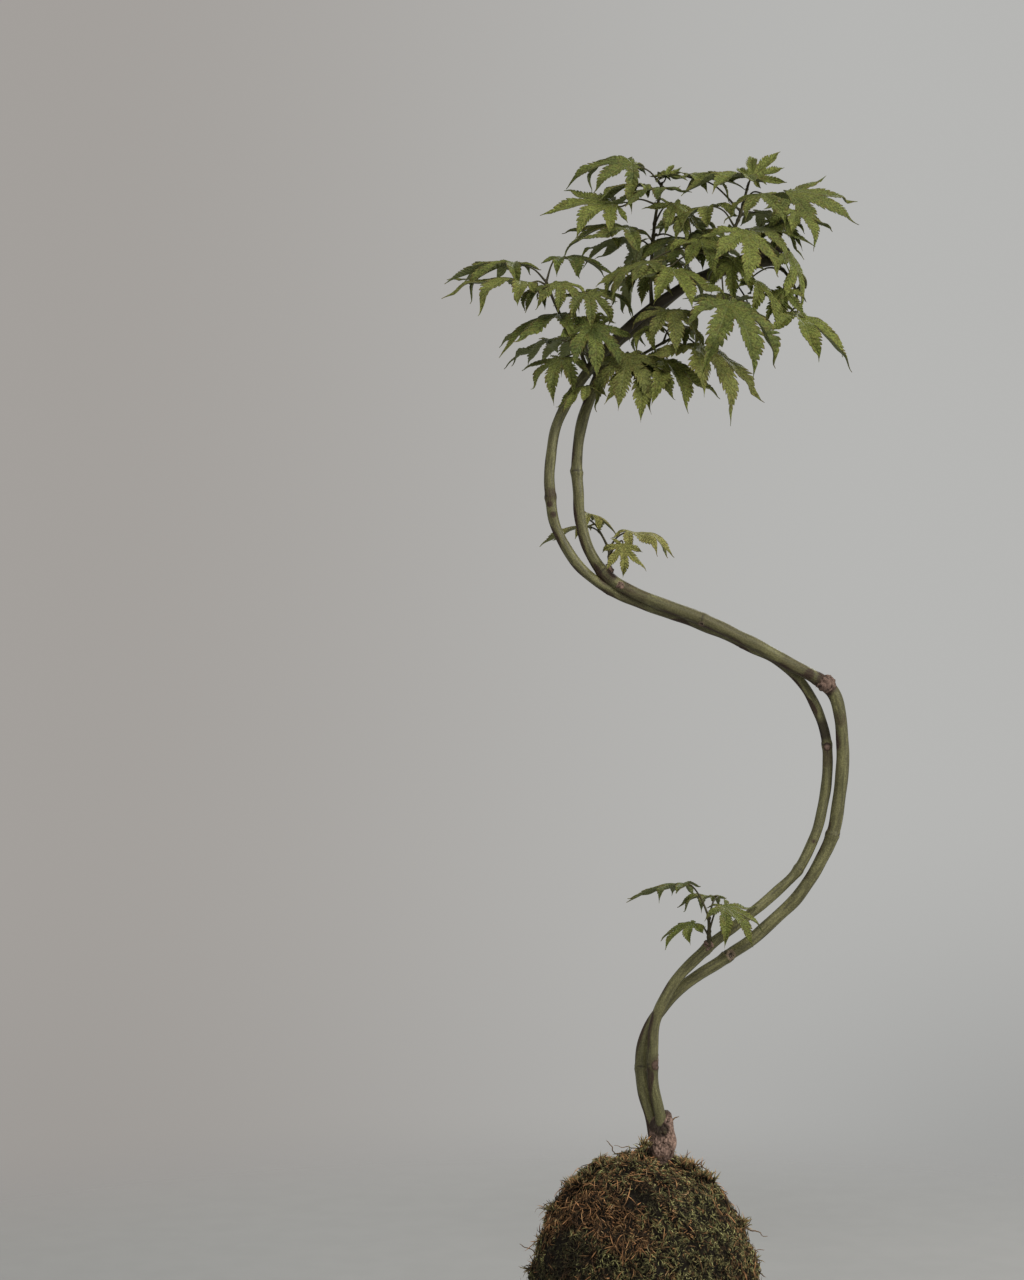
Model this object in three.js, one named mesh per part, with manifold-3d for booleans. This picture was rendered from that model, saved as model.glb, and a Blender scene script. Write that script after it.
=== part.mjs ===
// A kokedama: a young Japanese maple whose two trained stems rise in an S from a moss-wrapped ball of soil.
// Millimetres, +Z up. The origin is the middle of the flat spot that the moss ball rests on, +X is to the
// viewer's right and +Y is away from the viewer.

import * as THREE from "three";
import { mergeVertices } from "three/addons/utils/BufferGeometryUtils.js";
import Module from "manifold-3d";

const wasm = await Module();
wasm.setup();

// ---------------------------------------------------------------- driving dimensions

const FIT_GAP = 0.3; // between pieces that touch

const BALL = {
  radius: 54, // at the waist
  waistZ: 50,
  crownHeight: 66, // waist to top
  footDepth: 60, // waist to where the round would close below the flat spot
  mossDepth: 6,
};
const COLLAR_X = 9; // the root collar stands a little to the right of the ball's middle
const COLLAR_FOOT = 86; // height of the root collar's foot in the soil
const HOLE = { radius: 6.6, height: 60, sides: 16 }; // for the root collar, open at the ball's top
const RELIEF = { lump: 1.4, tuft: 1.8, stray: 0.07, seed: 11 }; // the moss's broad lumps and its tufts
const MOSS_GRID = { around: 33, steps: 16 };
const CORE_GRID = { around: 20, steps: 9 };

const STEM = { sides: 7, spacing: 17 };
const RING = { rise: 0.35, half: 2.2, clear: 4 }; // an old leaf scar round a stem
const COLLAR_SHAPE = { sides: 10, steps: 8 };
const STUB_SIDES = 6;

const TWIG = { sides: 5, steps: 4 };
const STALK = { radius: 0.62, endRadius: 0.3, sides: 3, steps: 3, bow: 0.14, straight: 3, behind: 0.6 };

const BLADE_THICK = 0.7;

// ---------------------------------------------------------------- routes, as [x, y, z, radius]

// The front stem: the inner curve of the lower bend and the outer curve of the upper one.
const FRONT_STEM = [
  [10, -1.5, 122, 2.8],
  [8.6, -3, 134, 2.7],
  [5.6, -3.3, 146, 2.6],
  [5, -3.6, 165, 2.5],
  [6.2, -3.6, 179, 2.5],
  [11.4, -3.2, 191, 2.5],
  [19, -2.4, 202, 2.5],
  [31.4, -1, 213.8, 2.5],
  [58.9, 4, 235, 2.4],
  [75, 7, 250, 2.4],
  [83, 9, 266, 2.4],
  [88.5, 11.3, 287, 2.4],
  [89.2, 12.5, 309, 2.4],
  [85, 12, 325, 2.4],
  [77.4, 10.5, 338.7, 2.4],
  [66.5, 8.5, 349, 2.4],
  [44.2, 4.8, 360, 2.5],
  [28.5, 2, 366.6, 2.5],
  [13.3, -0.6, 372, 2.4],
  [-1, -3.5, 377, 2.4],
  [-17.1, -7, 384.2, 2.4],
  [-30.9, -10.5, 395.2, 2.4],
  [-40.4, -13, 411.4, 2.4],
  [-43.9, -14, 427.5, 2.5],
  [-43.9, -13.5, 442.7, 2.4],
  [-41.3, -12, 458.4, 2.4],
  [-34.7, -9.5, 473.6, 2.4],
  [-17.1, -4.5, 497.3, 2.5],
  [4.8, 0, 517.3, 2.5],
  [33.3, 4, 534.9, 2.4],
  [60.8, 6.5, 545.3, 2.4],
  [66.5, 7, 547, 2.4],
];

// The back stem: the outer curve of the lower bend and the inner curve of the upper one.
const BACK_STEM = [
  [6.4, 1, 122, 3],
  [4.2, 1.8, 134, 3],
  [0.9, 2.3, 146, 3.2],
  [-0.1, 2.4, 160, 3.2],
  [2.9, 2.5, 174.3, 2.7],
  [9.5, 2.7, 183.8, 2.7],
  [19, 3.2, 194.3, 2.7],
  [42.3, 5.5, 209.5, 2.9],
  [58.9, 7, 221.8, 3],
  [75.1, 8, 237.5, 3],
  [85.5, 8.5, 253.2, 3.05],
  [92.2, 9, 269, 3.1],
  [95.2, 9, 287, 3.1],
  [96.4, 8.5, 305, 3.05],
  [95, 7.4, 323, 3],
  [92, 6.2, 333.5, 3.1],
  [87.6, 5.4, 338.8, 3.4],
  [77.4, 4, 344.4, 3],
  [63.7, 1.8, 352.2, 3],
  [46.6, -1, 361, 3],
  [28.5, -3.8, 369.4, 3],
  [9, -6, 376.7, 2.9],
  [-4.8, -7, 382.4, 2.9],
  [-16.5, -8, 389.5, 3],
  [-24.7, -8.5, 400.4, 2.7],
  [-29, -9, 414.2, 2.6],
  [-30.8, -9, 432, 2.6],
  [-29.9, -7.5, 457, 2.6],
  [-25.3, -5.4, 472.6, 2.6],
  [-20.4, -3.2, 485, 2.6],
  [-12.6, 1, 500.1, 2.6],
  [-0.8, 3, 509.2, 2.6],
  [11.4, 6, 521.1, 2.6],
  [23.3, 7.6, 530.3, 2.6],
  [32.9, 8.9, 534.4, 2.6],
  [47.3, 9.8, 538.2, 2.6],
  [60.6, 9.2, 540.9, 2.6],
  [65.5, 9, 541.8, 2.6],
];

// Where an old leaf scar rings each stem, as shares of its length.
const FRONT_RINGS = [0.063, 0.171, 0.269, 0.375, 0.49, 0.608, 0.7, 0.832];
const BACK_RINGS = [0.061, 0.181, 0.315, 0.45, 0.557, 0.649, 0.733, 0.834];

// The brown root collar, from its foot in the soil to the old slanting cut beside the stems.
const COLLAR = [
  [COLLAR_X, 0, COLLAR_FOOT, 5.8],
  [COLLAR_X, 0, 102, 6],
  [COLLAR_X, 0, 114, 6.1],
  [COLLAR_X + 0.4, -0.3, 121, 6.3],
  [COLLAR_X + 0.3, -0.3, 127, 5.9],
  [COLLAR_X + 1.4, -0.2, 132, 4.6],
  [COLLAR_X + 3, 0, 135.6, 2.4],
];

// Short brown stubs where a side shoot was cut off or a shoot leaves.
const STUBS = [
  [
    [84.5, 5.6, 340.2, 3.2],
    [88.5, 4.6, 338.6, 4.2],
    [92, 4.2, 337, 3],
  ],
  [
    [-17, -8, 388, 2.6],
    [-16.2, -6.4, 392, 2.6],
    [-15.6, -5, 394.6, 2.1],
  ],
  [
    [-10.6, -8.6, 384.6, 1.8],
    [-10.4, -11.4, 386, 1.6],
  ],
  [
    [31.4, -1, 213.6, 2.4],
    [31.5, -2.6, 217, 2.2],
  ],
];

// ---------------------------------------------------------------- leaves

// The seven lobes of a leaf: the angle of each from the middle one in degrees, its length as a share of the
// middle lobe's, and the outline of its side from the cut to the tip, as [along, out] shares of its length.
const LONG_SIDE = [
  [0.48, 0.15],
  [0.58, 0.095],
  [0.73, 0.1],
];
const NEAR_SIDE = [
  [0.5, 0.155],
  [0.72, 0.09],
];
const SHORT_SIDE = [[0.52, 0.15]];
const BASAL_SIDE = [];
const LOBES = [
  { angle: -124, length: 0.38, side: BASAL_SIDE },
  { angle: -80, length: 0.7, side: SHORT_SIDE },
  { angle: -39, length: 0.9, side: NEAR_SIDE },
  { angle: 0, length: 1, side: LONG_SIDE },
  { angle: 39, length: 0.9, side: NEAR_SIDE },
  { angle: 80, length: 0.7, side: SHORT_SIDE },
  { angle: 124, length: 0.38, side: BASAL_SIDE },
];
const CUTS = [0.19, 0.32, 0.4, 0.4, 0.32, 0.19]; // from the hub to each cut, as shares of the length
const RIB_AT = 0.52; // where a lobe's midrib bends, as a share of the lobe
const HUB_AT = 0.04; // where the ribs meet, and where the edge passes behind them, in shares of the length
const NOTCH_AT = -0.05;
const PLEAT = 0.5; // how far the ribs lie below the blade between them

// A shoot has a twig, as a route, and its leaves. A leaf is [share of the twig that its stalk leaves
// from, [x, y, z] of the blade's hub, turn, dip, roll, length, bend]. turn is where the middle lobe
// points: 0 right, 90 away, 180 left, 270 to the viewer. dip is how far it points down, roll lifts the
// blade's left side, length is the middle lobe's, and bend is how far it curls down by its tip.
const SHOOTS = {
  low_shoot: {
    twig: [
      [31.5, -2.6, 215, 1.3],
      [31.6, -4, 221, 1.2],
      [31.4, -4.6, 228.5, 1],
    ],
    leaves: [
      [1, [20, 2, 243.5], 186, 2, 8, 30, 34],
      [0.95, [34, 12, 237], 150, 6, 4, 20, 30],
      [0.5, [38.5, -10, 234], 312, 24, 6, 26, 34],
      [0.3, [23.5, -9, 225.5], 208, 12, 0, 21, 46],
    ],
  },
  middle_shoot: {
    twig: [
      [-15.8, -5.4, 393.6, 1.3],
      [-15.6, -2, 398, 1.1],
      [-15.6, 1, 403, 0.9],
    ],
    leaves: [
      [0.95, [-27, 13, 414], 178, 6, 0, 24, 34],
      [1, [-5.5, 2, 411], 340, 2, 8, 26, 46],
      [0.6, [-9.5, -12.5, 404], 278, 60, 0, 16, 44],
      [1, [-25.5, 3.5, 419.5], 346, 16, 0, 17, 52],
    ],
  },
  left_spray: {
    twig: [
      [-26, -6.5, 486, 1.5],
      [-30, -9, 497, 1.3],
      [-36, -10, 507, 1.2],
      [-41, -11, 517, 1.1],
      [-45.6, -12, 528, 0.9],
    ],
    leaves: [
      [1, [-60, -10, 537], 184, -2, -10, 37, 40],
      [0.95, [-57, -20, 527.5], 188, -8, -10, 40, 40],
      [1, [-38, -4, 541], 340, 2, 12, 28, 46],
      [0.95, [-46, -20, 525], 222, 20, 0, 20, 50],
      [0.9, [-39, -24, 526], 268, 26, 0, 21, 60],
      [0.5, [-27, -26, 521], 280, 26, 0, 23, 60],
      [0.6, [-40, -16, 512.5], 198, 10, -6, 38, 66],
      [0.55, [-21, -6, 525], 335, 10, 8, 23, 44],
    ],
  },
  lower_left_spray: {
    twig: [
      [-23, -6, 489, 1.3],
      [-25, -13, 494, 1.1],
      [-25, -20, 501, 0.9],
    ],
    leaves: [
      [1, [-24, -27, 505.5], 278, 46, 0, 29, 40],
      [0.4, [-38.5, -20, 491], 246, 26, 0, 27, 62],
    ],
  },
  lower_spray: {
    twig: [
      [-17.6, -2, 490, 1.4],
      [-8.6, -9, 491.6, 1.2],
      [-0.5, -13, 494, 1.1],
      [5.2, -15, 497, 1],
      [16.6, -17, 503, 0.9],
    ],
    leaves: [
      [0.5, [-1, -21, 490.5], 268, 44, 0, 35, 44],
      [0.3, [-8, -24, 492], 255, 44, 0, 32, 44],
      [0.3, [-27, -21, 478], 225, 22, 0, 20, 44],
      [0.65, [10, -18, 490.5], 306, 30, 0, 34, 60],
      [0.95, [26.5, -22, 497], 308, 26, 0, 45, 64],
      [1, [11.5, -28, 513], 282, 28, 0, 30, 56],
    ],
  },
  front_spray: {
    twig: [
      [33, 3, 533, 1.3],
      [35, -6, 537, 1.1],
      [36, -14, 539, 1],
      [31, -19, 541, 0.9],
    ],
    leaves: [
      [0.8, [47.5, -26, 549], 276, 32, -16, 36, 50],
      [0.8, [52, -12, 553], 346, -4, 20, 32, 50],
      [1, [27, -14, 547], 290, 28, 0, 26, 50],
      [1, [12.5, -26, 532], 296, 24, 0, 32, 50],
      [1, [-1, -20, 536], 222, 18, 0, 30, 46],
      [0.3, [46.5, -9, 520], 192, -10, 4, 28, 24],
      [0.5, [38.5, -33, 515], 302, 34, 0, 45, 50],
    ],
  },
  centre_spray: {
    twig: [
      [4.8, 0.5, 518, 1.5],
      [4.3, 5, 532, 1.3],
      [5.5, 8, 548, 1.2],
      [6.7, 8, 561, 1.1],
      [9.5, 5, 576, 0.9],
    ],
    leaves: [
      [1, [-4, 2, 586], 190, -8, -30, 36, 56],
      [0.85, [-13.5, -6, 565.5], 184, -8, -30, 37, 34],
      [0.9, [-1, -4, 575], 204, 2, -8, 24, 40],
      [0.95, [8, -10, 573], 226, 8, 0, 28, 44],
      [0.55, [-6.5, -4, 555], 194, -4, -18, 37, 52],
      [0.5, [-6, 16, 552], 158, 4, 0, 28, 44],
      [0.6, [16, 4, 551], 262, 20, 0, 27, 52],
    ],
  },
  top_right_spray: {
    twig: [
      [40, 4.7, 538, 1.4],
      [42, 8, 550, 1.2],
      [47, 10, 562, 1.1],
      [51, 12, 576, 0.9],
    ],
    leaves: [
      [1, [50, -2, 579.5], 190, -4, -8, 34, 34],
      [1, [53, 6, 580.5], 30, -44, 34, 22, 18],
      [0.7, [23, 8, 582.5], 4, -5, 10, 28, 44],
      [0.8, [55, -16, 569], 244, 14, 0, 27, 50],
      [0.5, [32, -4, 565], 216, 12, 0, 31, 48],
    ],
  },
  right_spray: {
    twig: [
      [61, 6.8, 546, 1.3],
      [66, 8, 556, 1.1],
      [70, 6, 565, 0.9],
    ],
    leaves: [
      [1, [70.5, 6, 572.5], 332, 10, 30, 39, 36],
      [0.9, [73, -6, 562], 300, 22, 0, 26, 50],
    ],
  },
  hanging_spray: {
    twig: [
      [63, 8.6, 541, 1.3],
      [69, 0, 533, 1.1],
      [73, -3, 524, 1],
      [72.5, -4, 517, 0.9],
    ],
    leaves: [
      [1, [72.5, -6, 513.5], 328, 26, 6, 41, 40],
      [0.1, [70, -4, 542], 345, 58, 10, 30, 50],
      [0.3, [53, -13, 528], 322, 36, 0, 26, 44],
    ],
  },
  back_spray: {
    twig: [
      [22.3, 7.6, 529.8, 1.5],
      [22, 16, 536, 1.3],
      [24, 30, 545, 1.1],
      [26, 38, 553, 0.9],
    ],
    leaves: [
      [1, [30, 46, 558], 60, 6, 0, 30, 50],
      [0.9, [12, 44, 553], 130, 6, 0, 30, 50],
      [0.5, [4, 30, 538], 170, 10, 0, 30, 50],
      [1, [24, 40, 566], 100, -4, 0, 26, 46],
    ],
  },
  back_left_spray: {
    twig: [
      [-21.6, -3.6, 482, 1.3],
      [-24, 10, 492, 1.1],
      [-26, 22, 502, 0.9],
    ],
    leaves: [
      [1, [-30, 34, 508], 110, 10, 0, 28, 50],
      [0.7, [-42, 18, 504], 176, 10, 0, 28, 50],
    ],
  },
};

// ---------------------------------------------------------------- solids

// A BufferGeometry as a solid, with the vertices that it repeats merged.
function solid(geometry) {
  const bare = new THREE.BufferGeometry();
  bare.setAttribute("position", geometry.getAttribute("position"));
  bare.setIndex(geometry.getIndex());
  const merged = mergeVertices(bare, 1e-4);
  return new wasm.Manifold(
    new wasm.Mesh({
      numProp: 3,
      vertProperties: new Float32Array(merged.getAttribute("position").array),
      triVerts: new Uint32Array(merged.getIndex().array),
    }),
  );
}

// A solid back as a BufferGeometry.
function geometryOf(shape) {
  const mesh = shape.getMesh();
  const geometry = new THREE.BufferGeometry();
  geometry.setAttribute("position", new THREE.BufferAttribute(mesh.vertProperties, 3));
  geometry.setIndex(new THREE.BufferAttribute(mesh.triVerts, 1));
  return geometry;
}

// A closed BufferGeometry from its points and triangles.
function geometryFrom(points, triangles) {
  const geometry = new THREE.BufferGeometry();
  const numbers = new Float32Array(points.flatMap((point) => point.toArray()));
  geometry.setAttribute("position", new THREE.BufferAttribute(numbers, 3));
  geometry.setIndex(triangles.flat());
  return geometry;
}

// Several solids as one, without the hollows that the joining seals in and any loose scrap.
function joined(shapes) {
  const whole = shapes.reduce((sum, shape) => sum.add(shape));
  return whole.decompose().reduce((a, b) => (a.volume() > b.volume() ? a : b));
}

// ---------------------------------------------------------------- tubes

// The radius at a place on a route, where `at` is the curve's own parameter from 0 to 1.
function radiusAlong(route, at) {
  const place = at * (route.length - 1);
  const before = Math.min(Math.floor(place), route.length - 2);
  return THREE.MathUtils.lerp(route[before][3], route[before + 1][3], place - before);
}

function curveThrough(route) {
  const points = route.map(([x, y, z]) => new THREE.Vector3(x, y, z));
  return new THREE.CatmullRomCurve3(points, false, "centripetal");
}

// A tapering tube along a smooth curve through a route, with a section at each share of its length. `grow` is
// added to its radius, and each ring thickens it round one of the shares.
function tube(route, sides, shares, { grow = 0, rings = [] } = {}) {
  const curve = curveThrough(route);
  const points = [];
  let across = new THREE.Vector3(0, -1, 0);
  for (const share of shares) {
    const centre = curve.getPointAt(share);
    const along = curve.getTangentAt(share);
    across = across.clone().addScaledVector(along, -across.dot(along)).normalize();
    const other = new THREE.Vector3().crossVectors(along, across);
    const bump = rings.includes(share) ? RING.rise : 0;
    const radius = radiusAlong(route, curve.getUtoTmapping(share)) + bump + grow;
    for (let side = 0; side < sides; side++) {
      const angle = (2 * Math.PI * side) / sides;
      points.push(
        centre
          .clone()
          .addScaledVector(across, radius * Math.cos(angle))
          .addScaledVector(other, radius * Math.sin(angle)),
      );
    }
  }
  return solid(geometryFrom(points, tubeTriangles(sides, shares.length)));
}

// The triangles of a tube's wall and its two flat ends.
function tubeTriangles(sides, sections) {
  const triangles = [];
  for (let section = 0; section < sections - 1; section++) {
    for (let side = 0; side < sides; side++) {
      const next = (side + 1) % sides;
      const [a, b] = [section * sides + side, section * sides + next];
      triangles.push([a, b, b + sides], [a, b + sides, a + sides]);
    }
  }
  const last = (sections - 1) * sides;
  for (let side = 1; side < sides - 1; side++) {
    triangles.push([0, side + 1, side], [last, last + side, last + side + 1]);
  }
  return triangles;
}

const evenShares = (steps) => Array.from({ length: steps + 1 }, (_, step) => step / steps);

// A stem: even sections, with three closer ones at each leaf scar.
function stem(route, rings, grow) {
  const length = curveThrough(route).getLength();
  const half = RING.half / length;
  const clear = RING.clear / length;
  const plain = evenShares(Math.round(length / STEM.spacing));
  const shares = plain.filter((share) => rings.every((ring) => Math.abs(ring - share) > clear));
  rings.forEach((ring) => shares.push(ring - half, ring, ring + half));
  shares.sort((a, b) => a - b);
  return tube(route, STEM.sides, shares, { grow, rings });
}

// ---------------------------------------------------------------- the woody plant

function woodyPlant(grow = 0) {
  const stubs = STUBS.map((route) => tube(route, STUB_SIDES, evenShares(route.length - 1), { grow }));
  return joined([
    stem(FRONT_STEM, FRONT_RINGS, grow),
    stem(BACK_STEM, BACK_RINGS, grow),
    tube(COLLAR, COLLAR_SHAPE.sides, evenShares(COLLAR_SHAPE.steps), { grow }),
    ...stubs,
  ]);
}

// ---------------------------------------------------------------- leaves

const degrees = THREE.MathUtils.degToRad;

// A leaf's flat outline with its middle lobe along +x and the hub at the origin, in shares of the length:
// the points round its edge, and for each stretch of edge the inner point that its triangle runs to.
function leafOutline() {
  const edge = [];
  const ribs = [];
  LOBES.forEach(({ angle, length, side }, lobe) => {
    const [cos, sin] = [Math.cos(degrees(angle)), Math.sin(degrees(angle))];
    const place = (along, out) => [length * (along * cos - out * sin), length * (along * sin + out * cos)];
    const rib = side.length > 1 ? ribs.push(place(RIB_AT, 0)) - 1 : null;
    side.forEach(([along, out]) => edge.push({ at: place(along, -out), rib }));
    edge.push({ at: place(1, 0), rib });
    [...side].reverse().forEach(([along, out]) => edge.push({ at: place(along, out), rib }));
    const next = LOBES[lobe + 1];
    if (next) {
      const middle = degrees((angle + next.angle) / 2);
      edge.push({ at: [CUTS[lobe] * Math.cos(middle), CUTS[lobe] * Math.sin(middle)], rib, cut: true });
    }
  });
  edge.push({ at: [NOTCH_AT, 0], rib: null });
  return { edge, ribs };
}

// The triangles of one face, as indices into the edge points, then the ribs, then the hub.
function faceTriangles(edge, ribs) {
  const hub = edge.length + ribs.length;
  const triangles = [];
  edge.forEach((from, index) => {
    const next = (index + 1) % edge.length;
    const rib = from.cut ? edge[next].rib : from.rib;
    triangles.push([rib === null ? hub : edge.length + rib, index, next]);
  });
  ribs.forEach((_, rib) => {
    const first = edge.findIndex((point) => point.rib === rib && !point.cut);
    const last = edge.findLastIndex((point) => point.rib === rib);
    const before = (first + edge.length - 1) % edge.length;
    const stop = edge[last].cut ? last : last + 1;
    triangles.push([hub, before, edge.length + rib], [hub, edge.length + rib, stop]);
  });
  return triangles;
}

const OUTLINE = leafOutline();
const FACE = faceTriangles(OUTLINE.edge, OUTLINE.ribs);

// A leaf's own directions: forward along the middle lobe, to its left, and up out of the blade.
function leafAxes(turn, dip, roll) {
  const [t, d, r] = [degrees(turn), degrees(dip), degrees(roll)];
  const forward = new THREE.Vector3(Math.cos(t) * Math.cos(d), Math.sin(t) * Math.cos(d), -Math.sin(d));
  const level = new THREE.Vector3(-Math.sin(t), Math.cos(t), 0);
  const upright = new THREE.Vector3().crossVectors(forward, level);
  const left = level.clone().multiplyScalar(Math.cos(r)).addScaledVector(upright, Math.sin(r));
  const up = new THREE.Vector3().crossVectors(forward, left);
  return { forward, left, up };
}

// A blade point: it lies on an arc that leaves the hub in the point's own direction and curls down, `rise`
// above the blade.
function bladePoint(hub, { forward, left, up }, [u, v], length, bend, rise) {
  const reach = Math.hypot(u, v) * length;
  const level = forward.clone().multiplyScalar(u).addScaledVector(left, v);
  const way = reach > 0 ? level.normalize() : forward.clone();
  const curl = degrees(bend) / length;
  const angle = curl * reach;
  const normal = up.clone().multiplyScalar(Math.cos(angle)).addScaledVector(way, Math.sin(angle));
  return hub
    .clone()
    .addScaledVector(way, Math.sin(angle) / curl)
    .addScaledVector(up, (Math.cos(angle) - 1) / curl)
    .addScaledVector(normal, rise);
}

function blade(hub, axes, length, bend) {
  const { edge, ribs } = OUTLINE;
  const flat = [...edge.map(({ at }) => at), ...ribs, [HUB_AT, 0]];
  const isRib = (index) => index >= edge.length;
  const face = (rise) =>
    flat.map((at, index) => bladePoint(hub, axes, at, length, bend, rise - (isRib(index) ? PLEAT : 0)));
  const count = flat.length;
  const triangles = [];
  FACE.forEach(([a, b, c]) => triangles.push([a, b, c], [a + count, c + count, b + count]));
  edge.forEach((_, index) => {
    const next = (index + 1) % edge.length;
    triangles.push([index, index + count, next + count], [index, next + count, next]);
  });
  const points = [...face(BLADE_THICK / 2), ...face(-BLADE_THICK / 2)];
  return solid(geometryFrom(points, triangles));
}

// A leaf stalk: from the twig, bowed a little upwards, into the edge of the blade behind its hub.
function stalk(from, hub, { forward, up }) {
  const to = hub.clone().addScaledVector(up, -PLEAT / 3).addScaledVector(forward, -STALK.behind);
  const before = to.clone().addScaledVector(forward, -STALK.straight);
  const middle = from.clone().lerp(before, 0.5);
  middle.z += STALK.bow * from.distanceTo(before);
  const radii = [STALK.radius, STALK.radius, STALK.radius, STALK.endRadius];
  const route = [from, middle, before, to].map((point, index) => [...point.toArray(), radii[index]]);
  return tube(route, STALK.sides, evenShares(STALK.steps));
}

function leaf(curve, [share, hubAt, turn, dip, roll, length, bend]) {
  const hub = new THREE.Vector3(...hubAt);
  const axes = leafAxes(turn, dip, roll);
  return blade(hub, axes, length, bend).add(stalk(curve.getPointAt(share), hub, axes));
}

function shoot({ twig, leaves }) {
  const curve = curveThrough(twig);
  return joined([tube(twig, TWIG.sides, evenShares(TWIG.steps)), ...leaves.map((row) => leaf(curve, row))]);
}

// ---------------------------------------------------------------- the ball

// The ball's plain round, `inset` inside its surface, at a longitude and a latitude in radians.
function ballPoint(longitude, latitude, inset, relief = 0) {
  const height = (latitude > 0 ? BALL.crownHeight : BALL.footDepth) - inset + relief;
  const radius = (BALL.radius - inset + relief) * Math.cos(latitude);
  const z = BALL.waistZ + height * Math.sin(latitude);
  return new THREE.Vector3(radius * Math.cos(longitude), radius * Math.sin(longitude), Math.max(z, inset));
}

// Broad lumps of moss, with tufts that stand out or sink in at random.
function mossRelief(longitude, latitude) {
  const along = Math.sin(3 * longitude + 1.3 + 2 * latitude);
  const broad = along * Math.cos(4 * latitude - 0.6 + Math.sin(longitude));
  return RELIEF.lump * broad + RELIEF.tuft * (2 * THREE.MathUtils.seededRandom() - 1);
}

// A round from pole to pole, with a ring of points at each step of latitude.
function round({ around, steps }, pointAt) {
  const points = [pointAt(0, -Math.PI / 2)];
  for (let step = 1; step < steps; step++) {
    for (let side = 0; side < around; side++) {
      points.push(pointAt((2 * Math.PI * side) / around, -Math.PI / 2 + (Math.PI * step) / steps));
    }
  }
  points.push(pointAt(0, Math.PI / 2));
  const top = points.length - 1;
  const triangles = [];
  for (let side = 0; side < around; side++) {
    const next = (side + 1) % around;
    triangles.push([0, 1 + next, 1 + side], [top, top - around + side, top - around + next]);
    for (let step = 0; step < steps - 2; step++) {
      const [a, b] = [1 + step * around + side, 1 + step * around + next];
      triangles.push([a, b, b + around], [a, b + around, a + around]);
    }
  }
  return solid(geometryFrom(points, triangles));
}

// The plain upright hole that the root collar stands in.
function collarHole() {
  const cylinder = new THREE.CylinderGeometry(HOLE.radius, HOLE.radius, HOLE.height, HOLE.sides);
  cylinder.rotateX(Math.PI / 2).translate(COLLAR_X, 0, COLLAR_FOOT - FIT_GAP + HOLE.height / 2);
  return solid(cylinder);
}

function mossSkin() {
  THREE.MathUtils.seededRandom(RELIEF.seed);
  const stray = () => RELIEF.stray * (2 * THREE.MathUtils.seededRandom() - 1);
  const outside = round(MOSS_GRID, (longitude, latitude) =>
    ballPoint(longitude + stray(), latitude + stray(), 0, mossRelief(longitude, latitude)),
  );
  const inside = round(CORE_GRID, (longitude, latitude) => ballPoint(longitude, latitude, BALL.mossDepth));
  return outside.subtract(inside).subtract(collarHole());
}

function soilCore() {
  const inset = BALL.mossDepth + FIT_GAP;
  const ball = round(CORE_GRID, (longitude, latitude) => ballPoint(longitude, latitude, inset));
  return ball.subtract(collarHole());
}

// ---------------------------------------------------------------- the whole

const MATERIALS = {
  moss: { color: 0x3f4526, roughness: 1 },
  soil: { color: 0x2e241b, roughness: 1 },
  bark: { color: 0x4f5a34, roughness: 0.6 },
  leaf: { color: 0x6f7a3a, roughness: 0.55 },
};

function part(name, shape, finish) {
  const mesh = new THREE.Mesh(
    geometryOf(shape),
    new THREE.MeshStandardMaterial({ ...MATERIALS[finish], metalness: 0 }),
  );
  mesh.name = name;
  return mesh;
}

const clearOfWood = woodyPlant(FIT_GAP);

const kokedama = new THREE.Group();
kokedama.add(part("moss_skin", mossSkin(), "moss"));
kokedama.add(part("soil_core", soilCore(), "soil"));
kokedama.add(part("woody_plant", woodyPlant(), "bark"));
for (const [name, form] of Object.entries(SHOOTS)) {
  kokedama.add(part(name, shoot(form).subtract(clearOfWood), "leaf"));
}

export default kokedama;
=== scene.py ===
"""A kokedama: a young Japanese maple whose two trained stems rise in an S from a ball of moss.

Every piece is a surface worked out with numpy, in metres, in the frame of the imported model: +Z up, +X to the
viewer's right, +Y away from the viewer, and the origin in the middle of the ball's flat foot.
"""

import bpy
import numpy as np
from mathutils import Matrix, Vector


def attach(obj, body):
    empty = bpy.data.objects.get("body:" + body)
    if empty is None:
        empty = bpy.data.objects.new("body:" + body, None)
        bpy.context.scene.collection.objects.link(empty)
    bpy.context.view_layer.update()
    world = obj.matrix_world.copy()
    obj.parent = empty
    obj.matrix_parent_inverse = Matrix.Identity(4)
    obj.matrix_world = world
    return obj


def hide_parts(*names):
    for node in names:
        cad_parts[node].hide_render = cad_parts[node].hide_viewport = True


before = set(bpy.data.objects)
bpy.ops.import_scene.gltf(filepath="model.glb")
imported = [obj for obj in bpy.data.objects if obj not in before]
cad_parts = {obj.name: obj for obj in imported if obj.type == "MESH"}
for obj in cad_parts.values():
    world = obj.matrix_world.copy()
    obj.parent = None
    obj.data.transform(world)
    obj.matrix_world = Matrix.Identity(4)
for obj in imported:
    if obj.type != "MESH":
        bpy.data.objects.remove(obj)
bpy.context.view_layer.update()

bl_info = {
    "name": "Kokedama Maple",
    "version": (1, 0, 0),
    "blender": (4, 5, 0),
    "location": "3D View > Sidebar > Kokedama",
    "description": "Builds a moss ball with two trained maple stems and their toothed leaves",
    "category": "Add Mesh",
}

# ---------------------------------------------------------------- driving dimensions

BODY = "root"

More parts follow.
